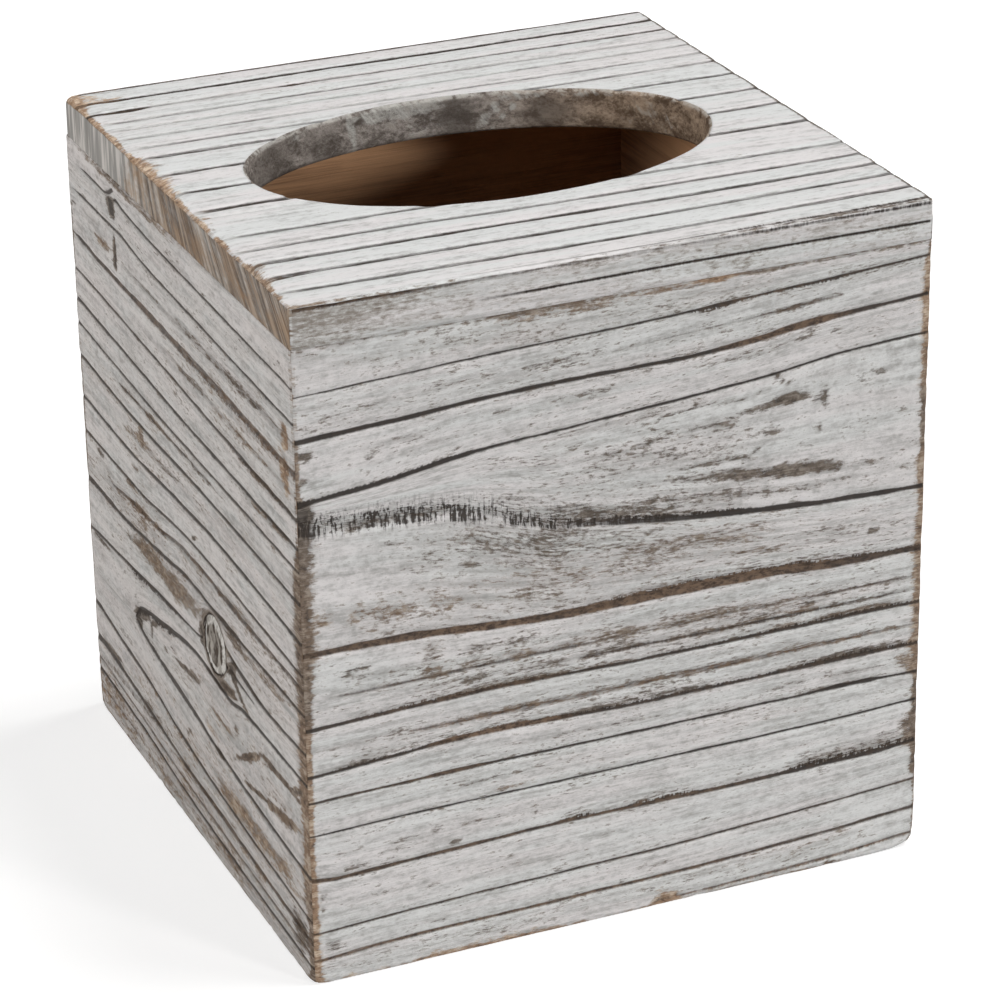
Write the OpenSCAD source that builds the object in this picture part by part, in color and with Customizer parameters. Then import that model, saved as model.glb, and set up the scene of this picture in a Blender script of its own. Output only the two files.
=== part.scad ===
// Square tissue box cover: four mitred wall boards, a top board with an oval opening laid on
// them, pins that hold the joints, and a thin base panel that slides out under the back wall.
// X runs left to right along the front, Y from front to back, and Z up from the table.
// The origin is on the table, under the middle of the cover.

/* [Cover] */
// Outside width, left to right
cover_w = 140; // [130:1:180]
// Outside depth, front to back
cover_d = 140; // [130:1:180]
// Height from the table to the top face
cover_h = 150; // [110:1:200]
// Thickness of the four wall boards
wall_t = 9; // [8:0.5:12]
// Thickness of the top board
top_t = 9; // [6:0.5:14]
// Chamfer that sanding leaves on the outer arrises
arris = 0.6; // [0.2:0.1:1.5]

/* [Oval opening] */
// Length of the opening, left to right
opening_l = 103; // [60:1:108]
// Width of the opening, front to back
opening_w = 65; // [40:1:80]

/* [Base panel] */
// Thickness of the sliding panel
base_t = 3; // [2:0.25:4]
// Depth of the grooves that hold the edges of the panel
groove_depth = 3.5; // [2:0.25:5]
// Height of the rim under the grooves
rim_h = 2.8; // [2:0.1:6]
// Running gap between the panel and its grooves
slide_gap = 0.2; // [0.1:0.05:0.4]
// Radius of the finger notch in the back edge of the panel
notch_r = 9; // [6:0.5:14]
// How far the panel stops short of the back face
panel_inset = 0.5; // [0.1:0.1:2]

/* [Pins] */
// Diameter of the headless pins
pin_d = 1.2; // [0.8:0.1:1.6]
// Length of a pin
pin_l = 19; // [14:1:24]
// Depth of filler over the outer end of a pin
pin_set = 1; // [0.5:0.1:2]
// Clearance round a pin in its hole
pin_fit = 0.05; // [0.02:0.01:0.1]
// Number of pins through the top board into each wall
wall_pins = 2; // [2:1:4]
// Number of pins across each mitred corner
corner_rows = 3; // [2:1:5]

/* [Hidden] */

// Segments in a full circle
$fn = 96;
// How far a cut runs past the face that it opens
overrun = 1;

// Clear space between the walls
inner_w = cover_w - 2 * wall_t;
inner_d = cover_d - 2 * wall_t;
// Underside of the top board, where the walls end
wall_top = cover_h - top_t;
// Grooves for the base panel
groove_h = base_t + 2 * slide_gap;
groove_top = rim_h + groove_h;
// Middle line of the wall boards, where all pins run
pin_line_x = cover_w / 2 - wall_t / 2;
pin_line_y = cover_d / 2 - wall_t / 2;
// Lower end of the pins that hold the top board
pin_foot = cover_h - pin_set - pin_l;

// Finishes
whitewash = [0.86, 0.85, 0.84];
whitewash_side = [0.78, 0.77, 0.75];
bare_ply = [0.76, 0.62, 0.44];
steel = [0.62, 0.63, 0.65];

// Centres of n equal parts of a length, about its middle
function centres(n, length) = [for (i = [0 : n - 1]) length * ((i + 1 / 2) / n - 1 / 2)];

// Plan of a mitred board: outer face along y = 0, wood towards +y
function mitred_plan(run) = [
    [-run / 2 + arris, 0],
    [run / 2 - arris, 0],
    [run / 2 - arris / 2, arris / 2],
    [run / 2 - wall_t, wall_t],
    [-run / 2 + wall_t, wall_t],
    [-run / 2 + arris / 2, arris / 2]
];

// Rectangle about the origin with its four corners clipped
function clipped_plan(w, d) = [
    [-w / 2 + arris, -d / 2],
    [w / 2 - arris, -d / 2],
    [w / 2, -d / 2 + arris],
    [w / 2, d / 2 - arris],
    [w / 2 - arris, d / 2],
    [-w / 2 + arris, d / 2],
    [-w / 2, d / 2 - arris],
    [-w / 2, -d / 2 + arris]
];

// Cross section of the top board with its two upper corners clipped
function clipped_section(w) = [
    [-w / 2, wall_top],
    [w / 2, wall_top],
    [w / 2, cover_h - arris],
    [w / 2 - arris, cover_h],
    [-w / 2 + arris, cover_h],
    [-w / 2, cover_h - arris]
];

// Turns a front wall into the wall on another side
module on_side(turn, half_span) {
    rotate([0, 0, turn])
        translate([0, -half_span, 0])
            children();
}

module mitred_board(run, foot) {
    translate([0, 0, foot])
        linear_extrude(height = wall_top - foot)
            polygon(mitred_plan(run));
}

// Groove along the whole inner face, open at both mitres
module panel_groove(run) {
    translate([-run / 2, wall_t - groove_depth, rim_h])
        cube([run, groove_depth + overrun, groove_h]);
}

module grooved_board(run) {
    difference() {
        mitred_board(run, 0);
        panel_groove(run);
    }
}

// A pin that starts at the origin and runs up, or its hole when fit is the clearance
module pin(fit = 0) {
    translate([0, 0, -fit])
        cylinder(r = pin_d / 2 + fit, h = pin_l + 2 * fit);
}

// Pins down through the top board into the middle of each wall's edge
module top_pin_set(fit = 0) {
    for (side = [-1, 1]) {
        for (x = centres(wall_pins, inner_w))
            translate([x, side * pin_line_y, pin_foot])
                pin(fit);
        for (y = centres(wall_pins, inner_d))
            translate([side * pin_line_x, y, pin_foot])
                pin(fit);
    }
}

// Pins from the two side walls across the mitres into the ends of the front and back walls
module corner_pin_set(fit = 0) {
    middle = (groove_top + pin_foot) / 2;
    for (side = [-1, 1], end = [-1, 1], rise = centres(corner_rows, pin_foot - groove_top))
        translate([side * (cover_w / 2 - pin_set), end * pin_line_y, middle + rise])
            rotate([0, -side * 90, 0])
                pin(fit);
}

module pin_holes() {
    top_pin_set(pin_fit);
    corner_pin_set(pin_fit);
}

// The oval is a unit cylinder stretched to its two sizes
module oval_opening() {
    translate([0, 0, wall_top - overrun])
        scale([opening_l / 2, opening_w / 2, 1])
            cylinder(r = 1, h = top_t + 2 * overrun);
}

module top_board() {
    color(whitewash)
        difference() {
            intersection() {
                translate([0, 0, wall_top])
                    linear_extrude(height = top_t)
                        polygon(clipped_plan(cover_w, cover_d));
                rotate([90, 0, 0])
                    linear_extrude(height = cover_d, center = true)
                        polygon(clipped_section(cover_w));
                rotate([90, 0, 90])
                    linear_extrude(height = cover_w, center = true)
                        polygon(clipped_section(cover_d));
            }
            oval_opening();
            top_pin_set(pin_fit);
        }
}

module front_wall() {
    color(whitewash)
        difference() {
            on_side(0, cover_d / 2)
                grooved_board(cover_w);
            pin_holes();
        }
}

module right_wall() {
    color(whitewash_side)
        difference() {
            on_side(90, cover_w / 2)
                grooved_board(cover_d);
            pin_holes();
        }
}

module left_wall() {
    color(whitewash_side)
        difference() {
            on_side(-90, cover_w / 2)
                grooved_board(cover_d);
            pin_holes();
        }
}

// The back wall ends above the grooves, so that the panel slides out under it
module back_wall() {
    color(whitewash)
        difference() {
            on_side(180, cover_d / 2)
                mitred_board(cover_w, groove_top);
            pin_holes();
        }
}

module base_panel() {
    panel_w = inner_w + 2 * (groove_depth - slide_gap);
    front = -inner_d / 2 - groove_depth + slide_gap;
    back = cover_d / 2 - panel_inset;
    color(bare_ply)
        difference() {
            translate([-panel_w / 2, front, rim_h + slide_gap])
                cube([panel_w, back - front, base_t]);
            translate([0, back, rim_h])
                cylinder(r = notch_r, h = groove_h);
        }
}

module top_pins() {
    color(steel)
        top_pin_set();
}

module corner_pins() {
    color(steel)
        corner_pin_set();
}

top_board();
front_wall();
back_wall();
left_wall();
right_wall();
base_panel();
top_pins();
corner_pins();
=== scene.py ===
# Whitewashed wooden tissue box cover, dressed over its CAD frame.
# Each board is one closed mesh. The rows of its outer face follow its own grain lines, so that
# every brushed groove, worn arris and chipped corner is real geometry.
# Lengths here are millimetres. A place on a face is given from its left end and its lower edge,
# as someone looking straight at that face sees it.
import math
import random
from collections import namedtuple

import bmesh
import bpy
from mathutils import Matrix, Vector, noise


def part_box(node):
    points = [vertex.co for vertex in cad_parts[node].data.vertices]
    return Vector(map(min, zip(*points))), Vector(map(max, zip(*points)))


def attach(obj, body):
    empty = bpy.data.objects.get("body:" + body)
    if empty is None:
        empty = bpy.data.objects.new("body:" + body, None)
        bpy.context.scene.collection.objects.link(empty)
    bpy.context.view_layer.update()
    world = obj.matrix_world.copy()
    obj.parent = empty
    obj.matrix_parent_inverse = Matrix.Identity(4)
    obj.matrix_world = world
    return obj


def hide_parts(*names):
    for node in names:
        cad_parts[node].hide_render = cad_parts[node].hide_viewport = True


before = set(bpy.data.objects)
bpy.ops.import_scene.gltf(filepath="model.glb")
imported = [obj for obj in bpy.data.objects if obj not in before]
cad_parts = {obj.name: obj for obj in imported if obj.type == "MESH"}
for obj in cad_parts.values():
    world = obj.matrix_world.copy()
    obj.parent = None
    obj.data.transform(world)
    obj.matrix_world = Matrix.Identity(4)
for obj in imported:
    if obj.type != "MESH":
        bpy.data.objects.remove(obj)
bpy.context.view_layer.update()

MM = 0.001


def box_mm(node):
    low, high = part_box(node)
    return Vector(low) / MM, Vector(high) / MM


# Driving sizes, from the frame
top_low, top_high = box_mm("top_board")
front_low, front_high = box_mm("front_wall")
back_low, _ = box_mm("back_wall")
base_low, base_high = box_mm("base_panel")
COVER_W = top_high.x - top_low.x
COVER_D = top_high.y - top_low.y
COVER_H = top_high.z
TOP_T = top_high.z - top_low.z
WALL_T = front_high.y - front_low.y
WALL_TOP = top_low.z
BACK_FOOT = back_low.z

# The oval opening, and the groove that the base panel slides in
OVAL_L = 103.0
OVAL_W = 65.0
SLIDE_GAP = 0.2
GROOVE_LOW = base_low.z - SLIDE_GAP
GROOVE_HIGH = base_high.z + SLIDE_GAP
GROOVE_BACK = COVER_W / 2 - base_high.x - SLIDE_GAP

# How far the boards are eased back where a wall meets the top board
SEAM = 0.25

# Mesh fineness: between the rows, between the columns, and the columns close to a face's ends
FILL_STEP = 1.0
COLUMN_STEP = 1.25
EDGE_STEPS = (0, 0.3, 0.65, 1.1, 1.7, 2.5, 3.5)

# Corners of the cover, in the order that the walls meet them. Wall number i starts at corner i.
FRONT_LEFT, FRONT_RIGHT, BACK_RIGHT, BACK_LEFT = range(4)
# Radius of each vertical arris, and of the corner of the foot there
ARRIS_R = {FRONT_LEFT: 0.75, FRONT_RIGHT: 0.7, BACK_RIGHT: 0.8, BACK_LEFT: 0.8}
FOOT_R = {FRONT_LEFT: 1.1, FRONT_RIGHT: 2.6, BACK_RIGHT: 1.4, BACK_LEFT: 1.2}

# Material slots of a board
OUTSIDE, JOINT, INSIDE, END_GRAIN, CUT_EDGE = range(5)

# Keeps the grain of one board apart from the next one's in the noise that the materials read
WALL_LAYER = 40.0
TOP_LAYER = 200.0
OVAL_LAYER = 220.0

# Stand for no line and no knot nearby
NO_LINE = 50.0
NO_KNOT = 9.0


def clamp(value, low=0.0, high=1.0):
    return min(high, max(low, value))


def ease(low, high, value):
    share = clamp((value - low) / (high - low))
    return share * share * (3 - 2 * share)


def waver(x, y, seed):
    """Smooth noise between -1 and 1."""
    return noise.noise(Vector((x, y, seed * 7.31 + 0.37)))


def mix(first, second, share):
    """A number, or a tuple of numbers, on the way from the first to the second."""
    if isinstance(first, tuple):
        return tuple(mix(a, b, share) for a, b in zip(first, second))
    return first * (1 - share) + second * share


class Track:
    """A value that follows points along a face, as a smooth curve or in straight stretches."""

    def __init__(self, points, smooth=False):
        if not isinstance(points, tuple):
            points = ((0, points), (1, points))
        self.x = [point[0] for point in points]
        self.y = [point[1] for point in points]
        gaps = [b - a for a, b in zip(self.x, self.x[1:])]
        rises = [(b - a) / gap for a, b, gap in zip(self.y, self.y[1:], gaps)]
        inner = [2 * a * b / (a + b) if a * b > 0 else 0.0 for a, b in zip(rises, rises[1:])]
        self.slope = [rises[0]] + inner + [rises[-1]]
        self.smooth = smooth

    def __call__(self, x):
        if x <= self.x[0]:
            return self.y[0]
        if x >= self.x[-1]:
            return self.y[-1]
        i = 0
        while x > self.x[i + 1]:
            i += 1
        gap = self.x[i + 1] - self.x[i]
        t = (x - self.x[i]) / gap
        if not self.smooth:
            return mix(self.y[i], self.y[i + 1], t)
        rise = self.y[i] * (1 - t) ** 2 * (1 + 2 * t) + self.y[i + 1] * t * t * (3 - 2 * t)
        return rise + gap * t * (1 - t) * (self.slope[i] * (1 - t) - self.slope[i + 1] * t)


class Line:
    """A dark grain line: its path, its width along the face, how far its edges spill over, and its colour.

    Comb is how far the dark is broken into ticks across the grain.
    """

    def __init__(self, path, width, up=0.15, down=0.15, ink=1.0, brown=0.15, comb=0.0):
        self.path = Track(path, smooth=True)
        self.width, self.up, self.down = Track(width), Track(up), Track(down)
        self.ink, self.brown, self.comb = Track(ink), Track(brown), Track(comb)
        self.seed = path[0][1]


class Oval:
    """An oval on a face: its middle, its two half sizes and its tilt."""

    def __init__(self, u, v, long, high, tilt=0.0):
        self.u, self.v, self.long, self.high = u, v, long, high
        self.cos, self.sin = math.cos(math.radians(tilt)), math.sin(math.radians(tilt))

    def reach(self, u, v):
        """Distance from the middle, which is 1 on the oval's rim."""
        along = ((u - self.u) * self.cos + (v - self.v) * self.sin) / self.long
        across = ((v - self.v) * self.cos - (u - self.u) * self.sin) / self.high
        return math.hypot(along, across)


class Patch(Oval):
    """An oval patch of worn or thin wash. Tan is 0 on scorched wood and 1 on fresh wood."""

    # The reach past which a patch is no longer felt
    LAST = 1.9

    def __init__(self, u, v, long, high, tilt=0.0, bare=0.0, thin=0.0, tan=0.0):
        super().__init__(u, v, long, high, tilt)
        self.bare, self.thin, self.tan = bare, thin, tan

    def weight(self, u, v):
        reach = self.reach(u, v)
        if reach > self.LAST:
            return 0.0
        return 1 - ease(0.45, 1.5, reach + 0.42 * waver(u / 3.2, v / 1.1, self.u))


def patches(*rows):
    """Patches from rows of u, v, half length, half height, tilt, bare, thin and tan."""
    return [Patch(*row) for row in rows]


class Band:
    """Wear along one edge of a face: how far in it reaches and its tone, along the edge.

    The edge is left, right or foot, or else the height of the face's upper edge.
    """

    def __init__(self, edge, width, tan):
        self.edge, self.width, self.tan = edge, Track(width), Track(tan)

    def wear(self, run, u, v):
        if self.edge == "left":
            distance, place = u, v
        elif self.edge == "right":
            distance, place = run - u, v
        elif self.edge == "foot":
            distance, place = v, u
        else:
            distance, place = self.edge - v, u
        width = self.width(place)
        width *= 1 + 0.35 * waver(place / 2.3, distance / 6, 8) + 0.3 * waver(place / 0.8, distance / 3, 9)
        if width <= 0 or distance > 3 * width + 1:
            return 0.0, 0.0
        return 0.95 * ease(0, 0.7, width) * math.exp(-0.85 * (distance / width) ** 2), self.tan(place)


def face_columns(run, fine_stretches):
    """Places of a face's columns: close together at its ends, and in the fine stretches."""
    inside = run - 2 * EDGE_STEPS[-1]
    steps = round(inside / COLUMN_STEP)
    columns = list(EDGE_STEPS)
    columns += [EDGE_STEPS[-1] + inside * i / steps for i in range(1, steps)]
    columns += [run - step for step in reversed(EDGE_STEPS)]
    for start, end, step in fine_stretches:
        count = round((end - start) / step)
        fine = [start + (end - start) * i / count for i in range(count + 1)]
        columns = [c for c in columns if not start - step / 2 < c < end + step / 2] + fine
    return sorted(columns)


class Face:
    """One outer face with all its grain: rows that follow the lines, and the look of any place on it."""

    # The narrowest that a line's rows come together, and the share of the gap to its neighbour
    # that half a line may fill
    THIN = 0.06
    ROOM = 0.27
    # Rows across a line, in half widths
    ACROSS = (-1.7, -1.0, -0.5, 0, 0.5, 1.0, 1.7)
    # Depth of the grooves, and how far from the face's ends they are shallower
    SHALLOWEST, DEEPEST = 0.1, 0.55
    RUN_OUT = 5
    # Steps along the face where the gaps between its lines are measured
    PROBES = 28

    def __init__(self, run, low, high, lines, patches, bands, knots=(), fine_stretches=(), fill=FILL_STEP,
                 depth_share=0.42, widen=1.0):
        self.run, self.low, self.high = run, low, high
        self.lines = sorted(lines, key=lambda line: line.path(run / 2))
        self.patches, self.bands, self.knots = patches, bands, knots
        self.depth_share, self.widen = depth_share, widen
        self.columns = face_columns(run, fine_stretches)
        self.levels = [low(run / 2)] + [0.0] * len(self.lines) + [high(run / 2)]
        widest = [0.0] * (len(self.lines) + 1)
        for u in (run * i / self.PROBES for i in range(self.PROBES + 1)):
            stops = [low(u)] + [line.path(u) for line in self.lines] + [high(u)]
            widest = [max(gap, b - a) for gap, a, b in zip(widest, stops, stops[1:])]
            for i in range(len(self.lines)):
                self.levels[i + 1] += stops[i + 1] / (self.PROBES + 1)
        self.fills = [max(1, math.ceil(gap / fill) - 2) for gap in widest]

    def column(self, u):
        """Every line's middle and half width at u, kept clear of its neighbours."""
        middles = []
        for line in self.lines:
            wobble = 0.1 * waver(u / 8, line.seed, 1) + 0.04 * waver(u / 3.4, line.seed, 2)
            middles.append(line.path(u) + wobble)
        stops = [self.low(u)] + middles + [self.high(u)]
        halves = []
        for i, line in enumerate(self.lines):
            width = max(0.0, line.width(u)) * self.widen
            width *= 1 + 0.35 * waver(u / 4.5, line.seed, 3)
            room = self.ROOM * max(0.02, min(stops[i + 1] - stops[i], stops[i + 2] - stops[i + 1]))
            halves.append(min(max(width / 2, self.THIN / 2), room))
        return middles, halves

    def rows(self, u, column):
        """Heights of the rows at u, from the lower edge to the upper one."""
        bunches = [[middle + share * half for share in self.ACROSS] for middle, half in zip(*column)]
        heights = [self.low(u)]
        for fill, bunch in zip(self.fills, bunches + [[self.high(u)]]):
            start, end = heights[-1], bunch[0]
            heights += [start + (end - start) * (k + 1) / (fill + 1) for k in range(fill)] + bunch
        return heights

    def level(self, u, v, middles):
        """Height as it would be if every line were straight."""
        stops = [self.low(u)] + middles + [self.high(u)]
        i = 0
        while v > stops[i + 1] and i < len(stops) - 2:
            i += 1
        share = (v - stops[i]) / max(0.01, stops[i + 1] - stops[i])
        return self.levels[i] + (self.levels[i + 1] - self.levels[i]) * share

    def nearest(self, v, column):
        """The gap to the nearest line's edge, and that line with its middle and half width."""
        gap, near = NO_LINE, None
        for line, middle, half in zip(self.lines, *column):
            distance = abs(v - middle) - half
            if half > self.THIN / 2 + 1e-6 and distance < gap:
                gap, near = distance, (line, middle, half)
        return gap, near

    def groove(self, u, v, gap, near):
        """How ragged, inky, brown and combed the nearest line is, and how deep its groove is here."""
        if near is None:
            return 0.0, 0.0, 0.0, 0.0, 0.0
        line, middle, half = near
        shown = ease(self.THIN, self.THIN * 3, 2 * half)
        rag = (line.up if v > middle else line.down)(u)
        rag *= shown * ease(0.05, 0.9, rag)
        ink = line.ink(u) * shown
        comb = line.comb(u)
        depth = clamp(self.depth_share * 2 * half, self.SHALLOWEST, self.DEEPEST)
        depth = depth * shown * (0.35 + 0.65 * ink) * (1 - 0.6 * comb)
        depth *= 0.12 + 0.88 * ease(0, self.RUN_OUT, min(u, self.run - u))
        inset = depth * (1 - ease(0.1, 1.6, abs(v - middle) / half))
        return rag, ink, line.brown(u), comb, inset + 0.09 * shown * math.exp(-max(0.0, gap) / 0.7)

    def wear(self, u, v):
        """How bare and how thin the wash is here, and how tan the wood under it."""
        bare, thin, tan = 0.0, 0.0, 0.0
        weights = 1e-6
        for patch in self.patches:
            weight = patch.weight(u, v)
            if weight > 0.001:
                bare = max(bare, patch.bare * weight)
                thin = max(thin, patch.thin * weight)
                tan += patch.tan * weight * patch.bare
                weights += weight * patch.bare
        tan /= weights
        for band in self.bands:
            reach, tone = band.wear(self.run, u, v)
            if reach > bare:
                bare, tan = reach, tone
        return bare, thin, tan

    def look(self, u, v, column):
        """Inset of the surface, straightened height, and the values that the shader reads."""
        gap, near = self.nearest(v, column)
        level = self.level(u, v, column[0])
        rag, ink, brown, comb, inset = self.groove(u, v, gap, near)
        inset += 0.035 * (1 + waver(u / 11, level / 0.7, 5)) + 0.05 * (1 + waver(u / 25, level / 6, 6))
        bare, thin, tan = self.wear(u, v)
        inset += 0.10 * ease(0.4, 0.9, bare)
        knot = min([NO_KNOT] + [knot.reach(u, v) for knot in self.knots])
        inset += 0.3 * math.exp(-((knot - 0.97) / 0.09) ** 2) + 0.22 * (1 - ease(0.3, 0.6, knot))
        return inset, level, (gap, rag, ink), (brown, bare, tan), (thin, knot, comb)


class Shell:
    """Collects one board's vertices and faces, with what each vertex tells the shader."""

    LAYERS = ("grain", "line", "tint", "thin")
    CLEAR = (NO_LINE, 0.0, 0.0)
    UNWORN = (0.0, 0.0, 0.0)
    PLAIN = (0.0, NO_KNOT, 0.0)

    def __init__(self):
        self.places = []
        self.told = {name: [] for name in self.LAYERS}
        self.faces, self.finishes, self.rounded = [], [], []

    def add(self, place, grain, line=CLEAR, tint=UNWORN, thin=PLAIN):
        self.places.append([c * MM for c in place])
        for name, value in zip(self.LAYERS, (grain, line, tint, thin)):
            self.told[name].extend(value)
        return len(self.places) - 1

    def face(self, corners, finish, rounded=False):
        self.faces.append(corners)
        self.finishes.append(finish)
        self.rounded.append(rounded)

    def ring(self, first, second, finishes):
        """Quads between two closed rows of vertices, each with its own finish."""
        for i, finish in enumerate(finishes):
            j = (i + 1) % len(first)
            self.face((first[i], first[j], second[j], second[i]), finish, rounded=True)

    def mesh(self, name, materials, stain):
        mesh = bpy.data.meshes.new(name)
        mesh.from_pydata(self.places, [], self.faces)
        for layer, values in self.told.items():
            mesh.attributes.new(layer, "FLOAT_VECTOR", "POINT").data.foreach_set("vector", values)
        stains = [stain] * len(self.places)
        mesh.attributes.new("stain", "FLOAT", "POINT").data.foreach_set("value", stains)
        mesh.polygons.foreach_set("material_index", self.finishes)
        mesh.polygons.foreach_set("use_smooth", self.rounded)
        for material in materials:
            mesh.materials.append(material)
        return mesh

    def piece(self, node, materials, stain, fill=None):
        """The finished board. An open underside is filled with the finish called fill."""
        name = "dressed_" + node
        mesh = self.mesh(name, materials, stain)
        shape = bmesh.new()
        shape.from_mesh(mesh)
        if fill is not None:
            rim = [edge for edge in shape.edges if edge.is_boundary]
            made = bmesh.ops.triangle_fill(shape, use_beauty=True, use_dissolve=False, edges=rim)
            for item in made["geom"]:
                if isinstance(item, bmesh.types.BMFace):
                    item.material_index = fill
        bmesh.ops.recalc_face_normals(shape, faces=shape.faces)
        shape.to_mesh(mesh)
        shape.free()
        piece = bpy.data.objects.new(name, mesh)
        bpy.context.scene.collection.objects.link(piece)
        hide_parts(node)
        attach(piece, "cover")


def arris_radius(corner, z):
    """Radius of a vertical arris at a height, the same for both boards that meet there."""
    chips = max(0.0, waver(z / 4.5, corner, 11) - 0.25) * 1.2
    foot = FOOT_R[corner] * 0.8 * math.exp(-z / 2.2)
    return ARRIS_R[corner] * (1 + 0.35 * waver(z / 9, corner, 10)) + chips + foot


def foot_radius(run, corner, u):
    """Radius of the lower arris of the wall that starts at a corner."""
    start, end = FOOT_R[corner], FOOT_R[(corner + 1) % 4]
    middle = 0.5 * (1 + 0.5 * waver(u / 7, corner, 12)) + max(0.0, waver(u / 3, corner, 13) - 0.3) * 1.2
    inside = ease(0, 6, u) * ease(0, 6, run - u)
    ends = start * math.exp(-u / 2.5) + end * math.exp(-(run - u) / 2.5)
    return middle * inside + ends


class Wall:
    """A mitred wall board. The walls go round from the front one, which has index 0."""

    # Steps round the vertical arrises and round the lower one, in degrees
    ARC = (45, 30, 15)
    FOOT_ARC = (90, 60, 30)

    def __init__(self, index, foot, *grain, **style):
        run, half_span = (COVER_D, COVER_W / 2) if index % 2 else (COVER_W, COVER_D / 2)
        self.index, self.foot, self.run, self.half_span = index, foot, run, half_span
        self.face = Face(run, lambda u: foot + foot_radius(run, index, u), lambda u: WALL_TOP - 2 * SEAM,
                         *grain, **style)
        self.turn = Matrix.Rotation(math.radians(90) * index, 3, "Z")
        self.shell = Shell()

    def place(self, u, depth, z):
        return self.turn @ Vector((u - self.run / 2, depth - self.half_span, z))

    def outer(self, end, angle, nominal, z, inset):
        """A point of the outer face, swung round the arris by the angle at one of its ends."""
        r_start = arris_radius(self.index, z)
        r_end = arris_radius((self.index + 1) % 4, z)
        if end == 0:
            u = r_start + nominal * (self.run - r_start - r_end) / self.run
            return self.place(u, inset, z), u
        radius = r_start if end < 0 else r_end
        u = radius * (1 - math.sin(angle)) + inset * math.tan(angle)
        if end > 0:
            u = self.run - u
        return self.place(u, radius * (1 - math.cos(angle)) + inset, z), u

    def outer_column(self, end, angle, nominal):
        """One column of the outer face, from the foot's arris to the seam under the top board."""
        column = self.face.column(nominal)
        heights = self.face.rows(nominal, column)
        low = foot_radius(self.run, self.index, nominal)
        swings = [math.radians(degrees) for degrees in self.FOOT_ARC]
        rows = [(low * (1 - math.sin(s)) + self.foot, low * (1 - math.cos(s))) for s in swings]
        rows += [(v, 0.0) for v in heights]
        rows += [(WALL_TOP - SEAM / 3, SEAM / 3), (WALL_TOP, SEAM)]
        points = []
        for z, extra in rows:
            within = clamp(z, heights[0], heights[-1])
            inset, level, line, tint, thin = self.face.look(nominal, within, column)
            if z <= self.foot or z >= WALL_TOP:
                inset *= 0.5
            point, u = self.outer(end, angle, nominal, z, inset + extra)
            grain = (u, level + (z - within), self.index * WALL_LAYER)
            points.append(self.shell.add(point, grain, line, tint, thin))
        return points

    def section(self):
        """The wall's inner side from foot to top, as depths and heights, with the groove for the panel."""
        groove = [(WALL_T, GROOVE_LOW), (GROOVE_BACK, GROOVE_LOW), (GROOVE_BACK, GROOVE_HIGH),
                  (WALL_T, GROOVE_HIGH)]
        return [(WALL_T, self.foot)] + (groove if self.foot < GROOVE_LOW else []) + [(WALL_T, WALL_TOP)]

    def inner_column(self, end):
        """The inner side's vertices at one mitre."""
        points = []
        for d, z in self.section():
            u = d if end < 0 else self.run - d
            points.append(self.shell.add(self.place(u, d, z), (u, z, self.index * WALL_LAYER)))
        return points

    def build(self, node, finishes, stain=0.15):
        arc = [math.radians(degrees) for degrees in self.ARC]
        stations = [(-1, angle, 0.0) for angle in arc] + [(0, 0.0, c) for c in self.face.columns]
        stations += [(1, angle, self.run) for angle in reversed(arc)]
        grid = [self.outer_column(*station) for station in stations]
        for first, second in zip(grid, grid[1:]):
            for j in range(len(first) - 1):
                self.shell.face((first[j], second[j], second[j + 1], first[j + 1]), OUTSIDE, rounded=True)
        start, end = self.inner_column(-1), self.inner_column(1)
        for i in range(len(start) - 1):
            self.shell.face((start[i], start[i + 1], end[i + 1], end[i]), INSIDE)
        self.shell.face(grid[0] + start[::-1], JOINT)
        self.shell.face(grid[-1] + end[::-1], JOINT)
        for row in (0, -1):
            self.shell.face([column[row] for column in grid] + [end[row], start[row]], JOINT)
        self.shell.piece(node, finishes[:INSIDE + 1], stain)


# The top board
HALF_W, HALF_D = COVER_W / 2, COVER_D / 2
# Radius of each corner of its plan, by side in x and y, and of the oval's upper arris
TOP_CORNER_R = {(-1, -1): 0.8, (1, -1): 0.9, (1, 1): 1.1, (-1, 1): 1.9}
OVAL_R = 0.7
# Turns an angle round the oval into a length along its wall
OVAL_MEAN_R = (OVAL_L + OVAL_W) / 4
# Steps round the oval's arris in degrees, and rings down its wall
OVAL_ARC = (25, 50, 75)
OVAL_RINGS = 14
# Steps round the outer arris in degrees, and depths of the rings down the board's edges
TOP_ARC = (22, 44, 66, 90)
TOP_DEPTHS = (0.8, 1.1, 1.6, 2.2, 2.9, 3.5, 4.05, 4.35, 4.6, 4.8, 5.0, 5.25, 5.6, 6.2, 7.0, 7.8,
              TOP_T - SEAM, TOP_T)

# A place on the top board's face, and what its look is there
Spot = namedtuple("Spot", "u v inset level line tint thin")


def top_radius(u, v):
    """Radius of the top board's upper arris at a place on its edge."""
    worn_left = 0.2 * math.exp(-u / 3) * ease(10, 60, v)
    back_left = 1.1 * math.exp(-math.hypot(u, COVER_D - v) / 5)
    even = 0.55 * (1 + 0.4 * waver(u / 6, v / 6, 14))
    return even + worn_left * (1 + 0.3 * waver(u, v / 3, 15)) + back_left


def warp(u, v):
    """Rounds the corners of the square plan: from face places to x and y about its middle."""
    x, y = u - HALF_W, v - HALF_D
    side = (1 if x > 0 else -1, 1 if y > 0 else -1)
    radius = TOP_CORNER_R[side]
    across, along = abs(x) - (HALF_W - radius), abs(y) - (HALF_D - radius)
    if across <= 0 or along <= 0:
        return x, y
    reach = max(across, along)
    length = math.hypot(across, along)
    x = side[0] * (HALF_W - radius + across * reach / length)
    y = side[1] * (HALF_D - radius + along * reach / length)
    return x, y


def oval_wobble(angle):
    """The oval was cut by hand, so its outline wavers a little."""
    slow = 1 + 0.003 * math.sin(3 * angle + 1) + 0.002 * math.sin(5 * angle)
    return slow + 0.0015 * math.sin(11 * angle + 2)


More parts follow.
